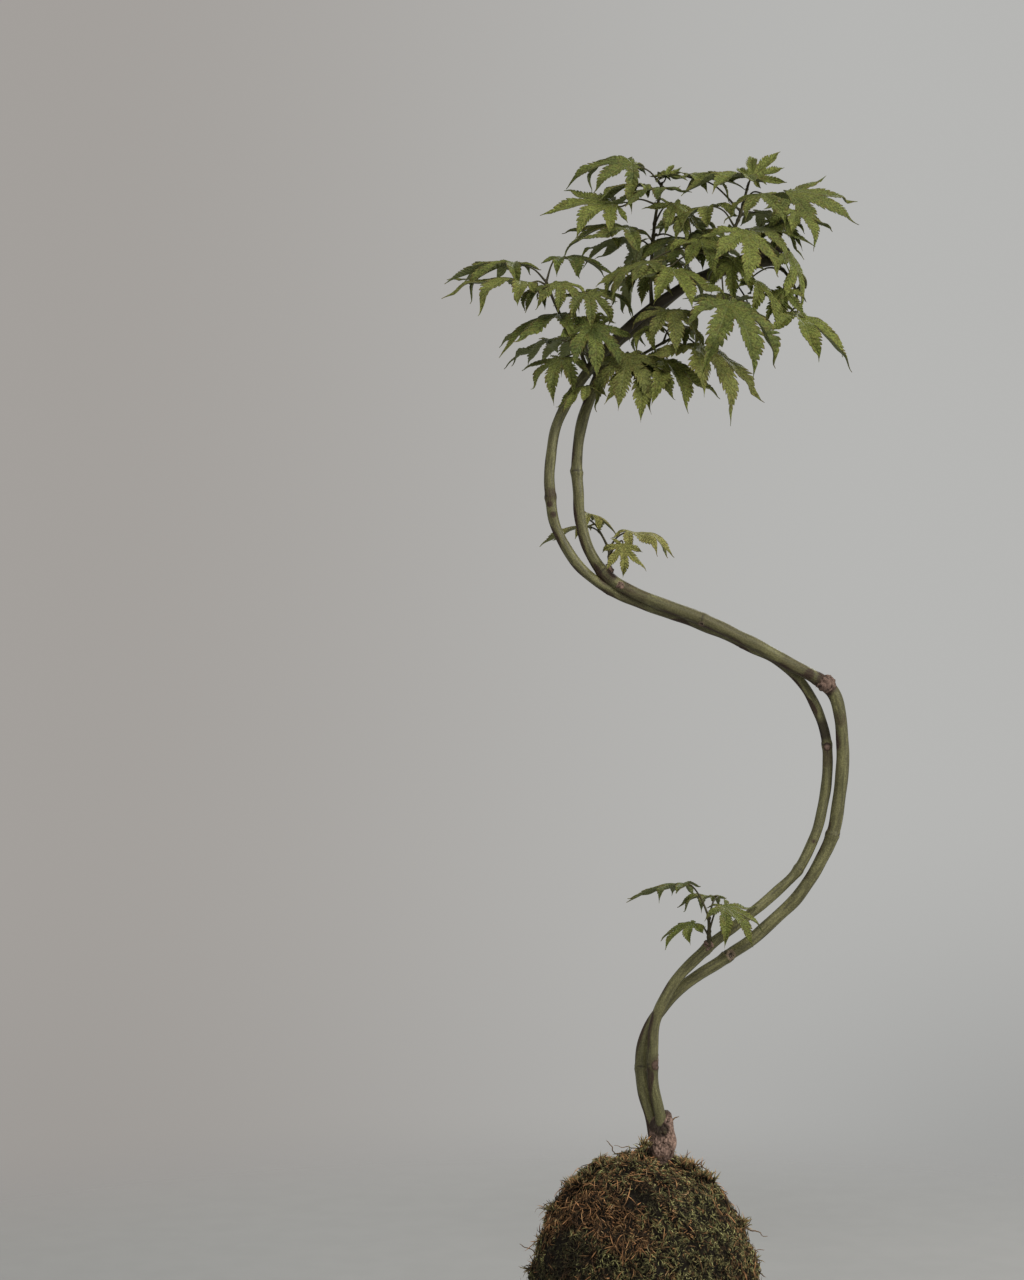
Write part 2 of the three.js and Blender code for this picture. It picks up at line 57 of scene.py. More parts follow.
# The ball's plain round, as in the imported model: its radius, how high its waist is, and how far its crown and
# its foot stand from the waist
BALL = {"radius": 0.054, "waist": 0.05, "crown": 0.066, "foot": 0.06}
LUMP = 0.0014  # how high the moss's broad lumps stand on it
BED_DEPTH = 0.0014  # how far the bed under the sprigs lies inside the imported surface
SKIN_DEPTH = 0.006  # how far the moss's inside does
COLLAR_X = 0.009
HOLE_RADIUS = 0.0066
FOOT_CLEAR = 0.0002  # nothing hangs lower than this above the surface the ball rests on

# The camera stands level with the plant's middle, where the photograph was taken from
CAMERA_PLACE = (-0.06175, -1.3, 0.3596)
CAMERA_LENS = 76.97
CAMERA_SENSOR = 36

AMBIENT = (0.68, 0.96)  # how strongly the surroundings light the plant from the left and from the right
# Painted light: the backdrop is painted brighter to the right
BACKDROP_SPAN = (-0.17, 0.14)  # the backdrop brightens from the left to the right between these directions
# Painted shade dims it low down and most in the lower right corner, each as (directions where it is
# dimmest and where that ends, how much light is left at each)
BACKDROP_LOW = (-0.26, -0.06, 0.89, 1)
BACKDROP_CORNER = (-0.28, -0.04, 0.7, 1)
CORNER_SPAN = (0.02, 0.2)  # the lower right corner's dimming comes in between these directions

LIGHT_AIM = (0.02, 0, 0.33)
WARM = (1, 0.98, 0.95)
# Each soft light as (name, place, diameter, watts, tint)
LIGHTS = [
    ("key", (1.2, -0.8, 0.95), 0.6, 12, WARM),
    ("top", (-0.15, -1.0, 1.5), 0.5, 7.5, WARM),
    ("back", (0.5, 1.3, 1.1), 0.7, 6, (1, 1, 1)),
]

# ---------------------------------------------------------------- routes, as (x, y, z, radius)

# The front stem: the inner curve of the lower bend and the outer curve of the upper one.
FRONT_STEM = [
    (0.01, -0.0015, 0.122, 0.0028),
    (0.0086, -0.003, 0.134, 0.0027),
    (0.0056, -0.0033, 0.146, 0.0026),
    (0.005, -0.0036, 0.165, 0.0025),
    (0.0062, -0.0036, 0.179, 0.0025),
    (0.0114, -0.0032, 0.191, 0.0025),
    (0.019, -0.0024, 0.202, 0.0025),
    (0.0314, -0.001, 0.2138, 0.0025),
    (0.0589, 0.004, 0.235, 0.0024),
    (0.075, 0.007, 0.25, 0.0024),
    (0.083, 0.009, 0.266, 0.0024),
    (0.0885, 0.0113, 0.287, 0.0024),
    (0.0892, 0.0125, 0.309, 0.0024),
    (0.085, 0.012, 0.325, 0.0024),
    (0.0774, 0.0105, 0.3387, 0.0024),
    (0.0665, 0.0085, 0.349, 0.0024),
    (0.0442, 0.0048, 0.36, 0.0025),
    (0.0285, 0.002, 0.3666, 0.0025),
    (0.0133, -0.0006, 0.372, 0.0024),
    (-0.001, -0.0035, 0.377, 0.0024),
    (-0.0171, -0.007, 0.3842, 0.0024),
    (-0.0309, -0.0105, 0.3952, 0.0024),
    (-0.0404, -0.013, 0.4114, 0.0024),
    (-0.0439, -0.014, 0.4275, 0.0025),
    (-0.0439, -0.0135, 0.4427, 0.0024),
    (-0.0413, -0.012, 0.4584, 0.0024),
    (-0.0347, -0.0095, 0.4736, 0.0024),
    (-0.0171, -0.0045, 0.4973, 0.0025),
    (0.0048, 0, 0.5173, 0.0025),
    (0.0333, 0.004, 0.5349, 0.0024),
    (0.0608, 0.0065, 0.5453, 0.0024),
    (0.0665, 0.007, 0.547, 0.0024),
]

# The back stem: the outer curve of the lower bend and the inner curve of the upper one.
BACK_STEM = [
    (0.0064, 0.001, 0.122, 0.003),
    (0.0042, 0.0018, 0.134, 0.003),
    (0.0009, 0.0023, 0.146, 0.0032),
    (-0.0001, 0.0024, 0.16, 0.0032),
    (0.0029, 0.0025, 0.1743, 0.0027),
    (0.0095, 0.0027, 0.1838, 0.0027),
    (0.019, 0.0032, 0.1943, 0.0027),
    (0.0423, 0.0055, 0.2095, 0.0029),
    (0.0589, 0.007, 0.2218, 0.003),
    (0.0751, 0.008, 0.2375, 0.003),
    (0.0855, 0.0085, 0.2532, 0.00305),
    (0.0922, 0.009, 0.269, 0.0031),
    (0.0952, 0.009, 0.287, 0.0031),
    (0.0964, 0.0085, 0.305, 0.00305),
    (0.095, 0.0074, 0.323, 0.003),
    (0.092, 0.0062, 0.3335, 0.0031),
    (0.0876, 0.0054, 0.3388, 0.0034),
    (0.0774, 0.004, 0.3444, 0.003),
    (0.0637, 0.0018, 0.3522, 0.003),
    (0.0466, -0.001, 0.361, 0.003),
    (0.0285, -0.0038, 0.3694, 0.003),
    (0.009, -0.006, 0.3767, 0.0029),
    (-0.0048, -0.007, 0.3824, 0.0029),
    (-0.0165, -0.008, 0.3895, 0.003),
    (-0.0247, -0.0085, 0.4004, 0.0027),
    (-0.029, -0.009, 0.4142, 0.0026),
    (-0.0308, -0.009, 0.432, 0.0026),
    (-0.0299, -0.0075, 0.457, 0.0026),
    (-0.0253, -0.0054, 0.4726, 0.0026),
    (-0.0204, -0.0032, 0.485, 0.0026),
    (-0.0126, 0.001, 0.5001, 0.0026),
    (-0.0008, 0.003, 0.5092, 0.0026),
    (0.0114, 0.006, 0.5211, 0.0026),
    (0.0233, 0.0076, 0.5303, 0.0026),
    (0.0329, 0.0089, 0.5344, 0.0026),
    (0.0473, 0.0098, 0.5382, 0.0026),
    (0.0606, 0.0092, 0.5409, 0.0026),
    (0.0655, 0.009, 0.5418, 0.0026),
]

# Where an old leaf scar rings each stem, as (share of its length, how strongly it stands out).
FRONT_RINGS = [
    (0.063, 0.8), (0.171, 0.9), (0.269, 0.9), (0.375, 1),
    (0.49, 0.5), (0.608, 0.7), (0.7, 1.2), (0.832, 0.8),
]
BACK_RINGS = [
    (0.061, 1.1), (0.181, 1.3), (0.315, 1.3), (0.45, 0.5),
    (0.557, 0.9), (0.649, 1), (0.733, 1.5), (0.834, 0.8),
]

# Each stem as (route, rings, how dark the painted shade on its bark is inside the crown, seed)
STEMS = [(FRONT_STEM, FRONT_RINGS, 0.95, 21), (BACK_STEM, BACK_RINGS, 0.7, 22)]

# The brown root collar, from its foot in the soil to the old slanting cut beside the stems.
COLLAR = [
    (0.009, 0, 0.086, 0.0058),
    (0.009, 0, 0.102, 0.006),
    (0.009, 0, 0.114, 0.0061),
    (0.0094, -0.0003, 0.121, 0.0063),
    (0.0093, -0.0003, 0.127, 0.0059),
    (0.0104, -0.0002, 0.132, 0.0046),
    (0.012, 0, 0.1356, 0.0024),
]

# Short brown stubs where a side shoot was cut off or a shoot leaves.
STUBS = [
    [(0.0845, 0.0056, 0.3402, 0.0032), (0.0885, 0.0046, 0.3386, 0.0042), (0.092, 0.0042, 0.337, 0.003)],
    [(-0.017, -0.008, 0.388, 0.0026), (-0.0162, -0.0064, 0.392, 0.0026), (-0.0156, -0.005, 0.3946, 0.0021)],
    [(-0.0106, -0.0086, 0.3846, 0.0018), (-0.0104, -0.0114, 0.386, 0.0016)],
    [(0.0314, -0.001, 0.2136, 0.0024), (0.0315, -0.0026, 0.217, 0.0022)],
]

# ---------------------------------------------------------------- leaves

# A shoot has a twig, as a route, and its leaves. A leaf is (share of the twig that its stalk leaves from,
# (x, y, z) of the blade's hub, turn, dip, roll, length, bend). turn is where the middle lobe points: 0 right,
# 90 away, 180 left, 270 to the viewer. dip is how far it points down, roll lifts the blade's left side,
# length is the middle lobe's, and bend is how far it curls down by its tip. Angles are in degrees.
SHOOTS = {
    "low_shoot": {
        "twig": [
            (0.0315, -0.0026, 0.215, 0.0013),
            (0.0316, -0.004, 0.221, 0.0012),
            (0.0314, -0.0046, 0.2285, 0.001),
        ],
        "leaves": [
            (1, (0.02, 0.002, 0.2435), 186, 2, 8, 0.03, 34),
            (0.95, (0.034, 0.012, 0.237), 150, 6, 4, 0.02, 30),
            (0.5, (0.0385, -0.01, 0.234), 312, 24, 6, 0.026, 34),
            (0.3, (0.0235, -0.009, 0.2255), 208, 12, 0, 0.021, 46),
        ],
    },
    "middle_shoot": {
        "twig": [
            (-0.0158, -0.0054, 0.3936, 0.0013),
            (-0.0156, -0.002, 0.398, 0.0011),
            (-0.0156, 0.001, 0.403, 0.0009),
        ],
        "leaves": [
            (0.95, (-0.027, 0.013, 0.414), 178, 6, 0, 0.024, 34),
            (1, (-0.0055, 0.002, 0.411), 340, 2, 8, 0.026, 46),
            (0.6, (-0.0095, -0.0125, 0.404), 278, 60, 0, 0.016, 44),
            (1, (-0.0255, 0.0035, 0.4195), 346, 16, 0, 0.017, 52),
        ],
    },
    "left_spray": {
        "twig": [
            (-0.026, -0.0065, 0.486, 0.0015),
            (-0.03, -0.009, 0.497, 0.0013),
            (-0.036, -0.01, 0.507, 0.0012),
            (-0.041, -0.011, 0.517, 0.0011),
            (-0.0456, -0.012, 0.528, 0.0009),
        ],
        "leaves": [
            (1, (-0.06, -0.01, 0.537), 184, -2, -10, 0.037, 40),
            (0.95, (-0.057, -0.02, 0.5275), 188, -8, -10, 0.04, 40),
            (1, (-0.038, -0.004, 0.541), 340, 2, 12, 0.028, 46),
            (0.95, (-0.046, -0.02, 0.525), 222, 20, 0, 0.02, 50),
            (0.9, (-0.039, -0.024, 0.526), 268, 26, 0, 0.021, 60),
            (0.5, (-0.027, -0.026, 0.521), 280, 26, 0, 0.023, 60),
            (0.6, (-0.04, -0.016, 0.5125), 198, 10, -6, 0.038, 66),
            (0.55, (-0.021, -0.006, 0.525), 335, 10, 8, 0.023, 44),
        ],
    },
    "lower_left_spray": {
        "twig": [
            (-0.023, -0.006, 0.489, 0.0013),
            (-0.025, -0.013, 0.494, 0.0011),
            (-0.025, -0.02, 0.501, 0.0009),
        ],
        "leaves": [
            (1, (-0.024, -0.027, 0.5055), 278, 46, 0, 0.029, 40),
            (0.4, (-0.0385, -0.02, 0.491), 246, 26, 0, 0.027, 62),
        ],
    },
    "lower_spray": {
        "twig": [
            (-0.0176, -0.002, 0.49, 0.0014),
            (-0.0086, -0.009, 0.4916, 0.0012),
            (-0.0005, -0.013, 0.494, 0.0011),
            (0.0052, -0.015, 0.497, 0.001),
            (0.0166, -0.017, 0.503, 0.0009),
        ],
        "leaves": [
            (0.5, (-0.001, -0.021, 0.4905), 268, 44, 0, 0.035, 44),
            (0.3, (-0.008, -0.024, 0.492), 255, 44, 0, 0.032, 44),
            (0.3, (-0.027, -0.021, 0.478), 225, 22, 0, 0.02, 44),
            (0.65, (0.01, -0.018, 0.4905), 306, 30, 0, 0.034, 60),
            (0.95, (0.0265, -0.022, 0.497), 308, 26, 0, 0.045, 64),
            (1, (0.0115, -0.028, 0.513), 282, 28, 0, 0.03, 56),
        ],
    },
    "front_spray": {
        "twig": [
            (0.033, 0.003, 0.533, 0.0013),
            (0.035, -0.006, 0.537, 0.0011),
            (0.036, -0.014, 0.539, 0.001),
            (0.031, -0.019, 0.541, 0.0009),
        ],
        "leaves": [
            (0.8, (0.0475, -0.026, 0.549), 276, 32, -16, 0.036, 50),
            (0.8, (0.052, -0.012, 0.553), 346, -4, 20, 0.032, 50),
            (1, (0.027, -0.014, 0.547), 290, 28, 0, 0.026, 50),
            (1, (0.0125, -0.026, 0.532), 296, 24, 0, 0.032, 50),
            (1, (-0.001, -0.02, 0.536), 222, 18, 0, 0.03, 46),
            (0.3, (0.0465, -0.009, 0.52), 192, -10, 4, 0.028, 24),
            (0.5, (0.0385, -0.033, 0.515), 302, 34, 0, 0.045, 50),
        ],
    },
    "centre_spray": {
        "twig": [
            (0.0048, 0.0005, 0.518, 0.0015),
            (0.0043, 0.005, 0.532, 0.0013),
            (0.0055, 0.008, 0.548, 0.0012),
            (0.0067, 0.008, 0.561, 0.0011),
            (0.0095, 0.005, 0.576, 0.0009),
        ],
        "leaves": [
            (1, (-0.004, 0.002, 0.586), 190, -8, -30, 0.036, 56),
            (0.85, (-0.0135, -0.006, 0.5655), 184, -8, -30, 0.037, 34),
            (0.9, (-0.001, -0.004, 0.575), 204, 2, -8, 0.024, 40),
            (0.95, (0.008, -0.01, 0.573), 226, 8, 0, 0.028, 44),
            (0.55, (-0.0065, -0.004, 0.555), 194, -4, -18, 0.037, 52),
            (0.5, (-0.006, 0.016, 0.552), 158, 4, 0, 0.028, 44),
            (0.6, (0.016, 0.004, 0.551), 262, 20, 0, 0.027, 52),
        ],
    },
    "top_right_spray": {
        "twig": [
            (0.04, 0.0047, 0.538, 0.0014),
            (0.042, 0.008, 0.55, 0.0012),
            (0.047, 0.01, 0.562, 0.0011),
            (0.051, 0.012, 0.576, 0.0009),
        ],
        "leaves": [
            (1, (0.05, -0.002, 0.5795), 190, -4, -8, 0.034, 34),
            (1, (0.053, 0.006, 0.5805), 30, -44, 34, 0.022, 18),
            (0.7, (0.023, 0.008, 0.5825), 4, -5, 10, 0.028, 44),
            (0.8, (0.055, -0.016, 0.569), 244, 14, 0, 0.027, 50),
            (0.5, (0.032, -0.004, 0.565), 216, 12, 0, 0.031, 48),
        ],
    },
    "right_spray": {
        "twig": [
            (0.061, 0.0068, 0.546, 0.0013),
            (0.066, 0.008, 0.556, 0.0011),
            (0.07, 0.006, 0.565, 0.0009),
        ],
        "leaves": [
            (1, (0.0705, 0.006, 0.5725), 332, 10, 30, 0.039, 36),
            (0.9, (0.073, -0.006, 0.562), 300, 22, 0, 0.026, 50),
        ],
    },
    "hanging_spray": {
        "twig": [
            (0.063, 0.0086, 0.541, 0.0013),
            (0.069, 0, 0.533, 0.0011),
            (0.073, -0.003, 0.524, 0.001),
            (0.0725, -0.004, 0.517, 0.0009),
        ],
        "leaves": [
            (1, (0.0725, -0.006, 0.5135), 328, 26, 6, 0.041, 40),
            (0.1, (0.07, -0.004, 0.542), 345, 58, 10, 0.03, 50),
            (0.3, (0.053, -0.013, 0.528), 322, 36, 0, 0.026, 44),
        ],
    },
    "back_spray": {
        "twig": [
            (0.0223, 0.0076, 0.5298, 0.0015),
            (0.022, 0.016, 0.536, 0.0013),
            (0.024, 0.03, 0.545, 0.0011),
            (0.026, 0.038, 0.553, 0.0009),
        ],
        "leaves": [
            (1, (0.03, 0.046, 0.558), 60, 6, 0, 0.03, 50),
            (0.9, (0.012, 0.044, 0.553), 130, 6, 0, 0.03, 50),
            (0.5, (0.004, 0.03, 0.538), 170, 10, 0, 0.03, 50),
            (1, (0.024, 0.04, 0.566), 100, -4, 0, 0.026, 46),
        ],
    },
    "back_left_spray": {
        "twig": [
            (-0.0216, -0.0036, 0.482, 0.0013),
            (-0.024, 0.01, 0.492, 0.0011),
            (-0.026, 0.022, 0.502, 0.0009),
        ],
        "leaves": [
            (1, (-0.03, 0.034, 0.508), 110, 10, 0, 0.028, 50),
            (0.7, (-0.042, 0.018, 0.504), 176, 10, 0, 0.028, 50),
        ],
    },
}

# Small leaves inside the crown, laid out as above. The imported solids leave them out.
SMALL_LEAVES = {
    "centre_spray": [
        (0.7, (0.015, -0.004, 0.566), 300, 34, 0, 0.024, 50),
        (1, (0.0115, 0.002, 0.58), 60, -46, 10, 0.012, 20),
        (1, (0.009, -0.002, 0.5795), 336, -14, 0, 0.013, 30),
        (0.35, (-0.005, -0.006, 0.5375), 200, 24, 0, 0.025, 44),
        (0.3, (0.0125, -0.003, 0.541), 330, 20, 0, 0.021, 50),
        (0.25, (0.001, -0.009, 0.535), 262, 46, 0, 0.022, 50),
    ],
    "top_right_spray": [
        (0.3, (0.03, -0.004, 0.553), 255, 40, 0, 0.022, 50),
        (0.6, (0.056, 0.02, 0.566), 30, 8, 0, 0.022, 40),
    ],
    "left_spray": [(0.3, (-0.0245, -0.016, 0.511), 250, 40, 0, 0.02, 50)],
    "lower_spray": [
        (0.8, (0.0165, -0.01, 0.508), 325, 14, 0, 0.021, 50),
        (0.9, (0.004, -0.02, 0.5065), 215, 24, 0, 0.018, 50),
    ],
    "right_spray": [(0.6, (0.0655, -0.006, 0.5585), 250, 38, 0, 0.021, 50)],
    "front_spray": [(0.6, (0.0415, -0.018, 0.5375), 262, 52, 0, 0.023, 50)],
    "hanging_spray": [(0.6, (0.0665, -0.009, 0.5245), 262, 62, 0, 0.018, 50)],
}

# How young and yellow a shoot's leaves still are, and those of every other shoot
YOUTH = {"low_shoot": 0.05, "middle_shoot": 0.75, "lower_spray": 0.2}
USUAL_YOUTH = 0.06

# The lobes of a leaf: the angle of each from the middle one, its length as a share of the middle one's, and
# how many teeth each of its sides has. CUTS are how far the cuts between them stop from the hub.
LOBES = [(-124, 0.38, 4), (-80, 0.7, 6), (-39, 0.9, 8), (0, 1, 9), (39, 0.9, 8), (80, 0.7, 6), (124, 0.38, 4)]
CUTS = [0.17, 0.27, 0.34, 0.34, 0.27, 0.17]
NOTCH = 0.05  # how far the blade reaches behind its hub, where the stalk joins it
LEAF_PATTERNS = 4  # leaves with teeth of their own

LOBE_WIDTH = 0.145  # half a lobe's width at its widest, as a share of its length
LOBE_WIDEST = 0.4  # where along the midrib that is
LOBE_TAPER = 1.95  # how soon it narrows towards its tip
VEIN_SLANT = 0.9  # how far a side vein runs forward for each step outwards
TOOTH_DEPTH = 0.31  # as a share of the half width there
TOOTH_VARIETY = (0.3, 1.6)  # how deep one tooth is against another
TOOTH_STEPS = (0, 0.42, 0.84)  # the rows across a lobe within each tooth
TOOTH_ROUND = 1.9  # how soon a tooth's back rises to its point
TAIL = 2.7  # the smooth tip of a lobe, in teeth
WEDGE_ROWS = 5  # the rows between the hub and the lobe's first full row
ACROSS = (0, 0.1, 0.38, 0.7, 1)  # the points from the midrib to the edge

BLADE_FOLD = (0.1, 0.6)  # how steeply each half of a lobe rises from its midrib, from one leaf to another
LOBE_LEAN = 0.75  # how far a lobe may turn over to a side
LOBE_SWEEP = 0.24  # how far a lobe may sweep sideways, in radians
LOBE_DROOP = (-0.6, 1)  # how much less or more than the leaf's own bend a lobe has
LOBE_STRETCH = 0.14  # how much longer or shorter a lobe may be
STEADY_LOBE = 0.35  # how much of this unevenness the middle lobe has
BLADE_WAVE = 0.0009  # how far the whole blade ripples
QUILT = 0.0003  # how far the blade bulges between its side veins
RIB_DEPTH = 0.00022  # how far the midrib stands out below
STALK = {"radius": 0.0004, "end": 0.00034, "bow": 0.14, "straight": 0.003, "below": 0.0003}
STALK_SIDES = 8
STALK_SPACING = 0.0012
TWIG = {"slim": 0.68, "sides": 12, "spacing": 0.0007, "flare": 0.9, "flare_reach": 0.0014}
TWIG_NODE = {"rise": 0.4, "reach": 0.0009}
BUD = {"length": 0.0019, "radius": 0.0005, "sides": 8}

# ---------------------------------------------------------------- bark

STEM_SIDES = 40
STEM_SPACING = 0.0008
GRAIN_RADIUS = 0.0027  # the round that the bark's grain is laid on, whatever the stem's own radius
STEM_WAVES = (0.00012, 0.006)  # how deep and how broad the stems' long low waves are
STEM_GRAIN = (0.000025, 0.0011)  # and their fine ridges along the grain
# A leaf scar's ring: how high its ridge is and how far it reaches below and above, and how far it tilts
RING = {"ridge": 0.0004, "below": 0.0024, "above": 0.0008, "tilt": 0.0005}
GROOVE = {"depth": 0.0004, "reach": 0.00024}  # the groove in the ridge's middle
EYE = {"pit": 0.0004, "rim": 0.00025}  # how deep an eye-shaped scar is, and how high its edge

COLLAR_SIDES = 130
COLLAR_SPACING = 0.00035
COLLAR_LUMPS = (0.0005, 0.0085)  # how deep and how broad
WRINKLE_SLANT = ((2.2, 0, 0.5), (0, 2.2, 0.3), (0, 0, 0.5))  # draws the wrinkles out up the bulb, askew
WRINKLE_WANDER = (0.0014, 0.004)  # how far and how broadly they wander
WRINKLES = ((0.006, 0.22, 1, 45), (0.003, 0.2, 0.6, 46))  # how broad, how wide open and how deep, and a seed
COLLAR_TOP = (0.131, 0.136)  # between these heights the collar narrows to its slanting cut
COLLAR_FOOT = (0.1135, 0.1175)  # between these it rises out of the moss's shade
STUB_SIDES = 40
STUB_SPACING = 0.00035
STUB_BROWN = 1.45
STUB_LUMPS = (0.00032, 0.0026)  # how deep and how broad
STUB_PITS = (0.0004, 0.0019)

# The sides of the bark that are brown or dark. The weathered side is partly brown bark and partly painted
# shade on the stems' left and lower side; the shaded side is painted shade on their right, back and lower
# edge; the collar's is painted shade on its left. For each: the way it faces, how squarely a point has to
# face it for none and for all of it, how much, and how strongly and broadly its edge is broken up
BROWN_AND_SHADED_SIDE = {"way": (-0.75, 0.2, -0.62), "span": (0.12, 0.9), "amount": 0.85, "broken": (0.35, 0.016)}
SHADED_SIDE = {"way": (0.83, 0.38, -0.4), "span": (0.4, 0.95), "amount": 0.85, "broken": (0, 0.016)}
COLLAR_SHADE = {"way": (-1, 0, 0), "span": (0.15, 0.95), "amount": 0.62, "broken": (0.2, 0.006)}
# Painted shade under the leaves: the stems' bark darkens inside the crown
SHADED_CROWN = (0.47, 0.512)  # the stems darken from the first height to the second

# Where the bark is brown, pink-brown or near black, and where the brown collar is still green, as
# (x, y, z, reach, how much)
BROWN_PLACES = [
    (0.009, 0, 0.118, 0.016, 1),
    (0.0876, 0.0054, 0.3395, 0.009, 1),
    (0.072, 0.003, 0.3475, 0.012, 0.4),
    (0.048, -0.001, 0.361, 0.018, 0.3),
    (0.02, -0.005, 0.373, 0.022, 0.34),
    (-0.004, -0.007, 0.382, 0.012, 0.45),
    (0.0945, 0.0074, 0.322, 0.007, 0.5),
    (0.0885, 0.011, 0.303, 0.007, 0.5),
    (-0.0165, -0.008, 0.3895, 0.0065, 0.7),
    (0.0057, -0.0036, 0.1605, 0.005, 0.6),
    (-0.044, -0.0138, 0.428, 0.006, 0.6),
    (0.0315, -0.0015, 0.214, 0.004, 0.5),
    (0.066, 0.0075, 0.5445, 0.009, 1),
    (0.0713, 0.0083, 0.5422, 0.005, 1),
]
PINK_PLACES = [
    (-0.044, -0.016, 0.4235, 0.0024, 0.35),
    (-0.0425, -0.016, 0.4185, 0.0024, 0.35),
    (0.0066, -0.0062, 0.1585, 0.0036, 0.7),
    (0.0795, 0.0015, 0.3432, 0.004, 0.45),
    (0.0892, 0.0102, 0.3085, 0.0026, 0.7),
    (0.082, 0.0085, 0.2635, 0.003, 0.6),
]
GREEN_PLACES = [(0.0085, -0.0068, 0.1285, 0.0056, 0.62), (0.0045, -0.005, 0.13, 0.005, 0.6)]
DARK_PLACES = [
    (0.0876, 0.0115, 0.3165, 0.0075, 0.9),
    (0.0667, 0.007, 0.547, 0.0065, 0.9),
    (-0.0145, -0.0085, 0.3905, 0.003, 0.5),
    (0.006, -0.003, 0.1345, 0.0035, 0.4),
    (-0.0292, -0.009, 0.4445, 0.0032, 0.5),
]
# Old scars that look like an eye, as (x, y, z, radius of the dark middle)
EYES = [
    (0.0424, 0.0027, 0.2098, 0.0011),
    (-0.0105, -0.0112, 0.3856, 0.0009),
    (0.0079, -0.0044, 0.1615, 0.0007),
    (0.0013, 0.0004, 0.1556, 0.0006),
    (0.0278, -0.0058, 0.3672, 0.0007),
]

# ---------------------------------------------------------------- moss

# Patches of the ball, as (longitude, latitude, reach) in degrees. The viewer is at longitude -90.
DRY_PATCHES = [(-134, 45, 15), (-164, 40, 16), (-112, 39, 11), (-97, 31, 8), (70, 34, 20), (12, 6, 13)]
# In the shady patches the moss is darkened as painted shade
SHADY_PATCHES = [
    (-138, 19, 20), (-155, 2, 26), (-92, 52, 8), (178, -8, 24), (100, 6, 24), (35, 48, 12), (-60, -25, 20),
]
BARE_PATCHES = [(-104, 54, 7), (-152, 24, 9), (-94, 46, 6)]
STRAY_DRY = {"anywhere": 0.09, "top": 0.3, "right": 0.17}  # how many sprigs have dried outside the patches

CLUMP = 0.1  # the size of the clumps that sprigs lean together in, as a share of the ball's radius
CELL_MARGIN = 0.06  # how much of a sprig's cell in the map for baking stays free on each side
# The bed's points: round it, down its outside and up its inside. Each skin's rows stop this near the pole, in
# radians, where it closes, and the inside's rim is this much wider than the outside's.
BED = {"sides": 220, "outside": 130, "inside": 40, "pole": 0.02, "inner_rim": 1.12}

GOLDEN_ANGLE = np.pi * (3 - np.sqrt(5))
SPRIG_PIECES = 7
SPRIGS_A_PIECE = 11000
DRY_FIBRES = 6500
SPRIG_SIDES = 3
LONG_SPRIGS = (0.1, 1.6)  # how many sprigs are longer than the others, and by how much
LOWEST_ROOT = 0.0006  # no sprig is rooted lower than this
COLLAR_ROOM = 0.0012  # how far into the collar's hole sprigs may root

# Sprigs and dry fibres: how far they lean from upright in degrees, how much they curl, how deep they are
# rooted, how wide they are from root to tip, how dry they are where they are dry, how their tones are spread,
# as the two powers of a beta draw, and how much darker the painted shade makes them in the shady patches
SPRIG = {"lean": (34, 80), "curl": (0.5, 1.6), "depth": 0.0004, "profile": (0.75, 1, 0.7, 0)}
SPRIG.update(dry=(0.55, 1), tone=(0.72, 1.6), shaded=0.85)
FIBRE = {"lean": (62, 88), "curl": (0.1, 0.5), "depth": -0.0008, "profile": (0.8, 1, 1, 0.9, 0.6, 0)}
FIBRE.update(dry=(0.75, 1), tone=(1.0, 1.35), shaded=0.75)
FIBRES_OUTSIDE = 0.1  # how many of the fibres drawn outside the dry patches are kept
VARIETY = {"length": (0.6, 1.35), "width": (0.7, 1.3), "clump_tone": 0.22}  # from one sprig to another
BARE = {"thinned": 0.6, "shorter": 0.25}  # how many sprigs the bare patches lose, and how much length
TUFT = {"length": (0.003, 0.0068), "radius": 0.00032, "depth": 0.002, "lean": 0.4, "curl": 0.28}
LOOSE = {"sides": 6, "spacing": 0.0006, "waver": 0.0003, "waver_size": 0.004}  # the loose fibres' tubes

# Loose fibres that stand off the ball, each from its root to its tip with its middle lifted, as
# (root, tip, lift, radius)
LOOSE_FIBRES = [
    ((-0.002, -0.006, 0.1188), (-0.0135, -0.007, 0.1203), 0.0004, 0.0002),
    ((0.046, -0.018, 0.0835), (0.0575, -0.02, 0.0806), 0.0012, 0.0003),
    ((0.046, -0.018, 0.083), (0.0505, -0.0195, 0.0885), -0.0008, 0.0003),
    ((0.0225, -0.008, 0.1115), (0.031, -0.011, 0.1087), 0.0022, 0.0003),
    ((0.0195, -0.01, 0.111), (0.0255, -0.012, 0.1128), 0.0018, 0.00032),
    ((-0.046, -0.012, 0.0935), (-0.0515, -0.015, 0.0905), 0.0008, 0.00012),
    ((0.0135, -0.0015, 0.1312), (0.0176, -0.0025, 0.1332), 0.0003, 0.00034),
    ((-0.0335, -0.016, 0.1015), (-0.0365, -0.018, 0.1065), 0.0005, 0.0003),
    ((0.0505, 0.008, 0.064), (0.0588, 0.011, 0.0675), 0.001, 0.00026),
    ((0.012, 0.0405, 0.089), (0.017, 0.05, 0.0925), 0.0012, 0.00026),
    ((-0.03, 0.04, 0.062), (-0.037, 0.0485, 0.0585), 0.0011, 0.00024),
    ((-0.05, 0.006, 0.066), (-0.0585, 0.009, 0.0705), 0.0009, 0.00024),
    ((0.031, 0.031, 0.083), (0.0395, 0.038, 0.0885), 0.0012, 0.00024),
    ((-0.012, 0.02, 0.1115), (-0.016, 0.025, 0.118), 0.0008, 0.00024),
]

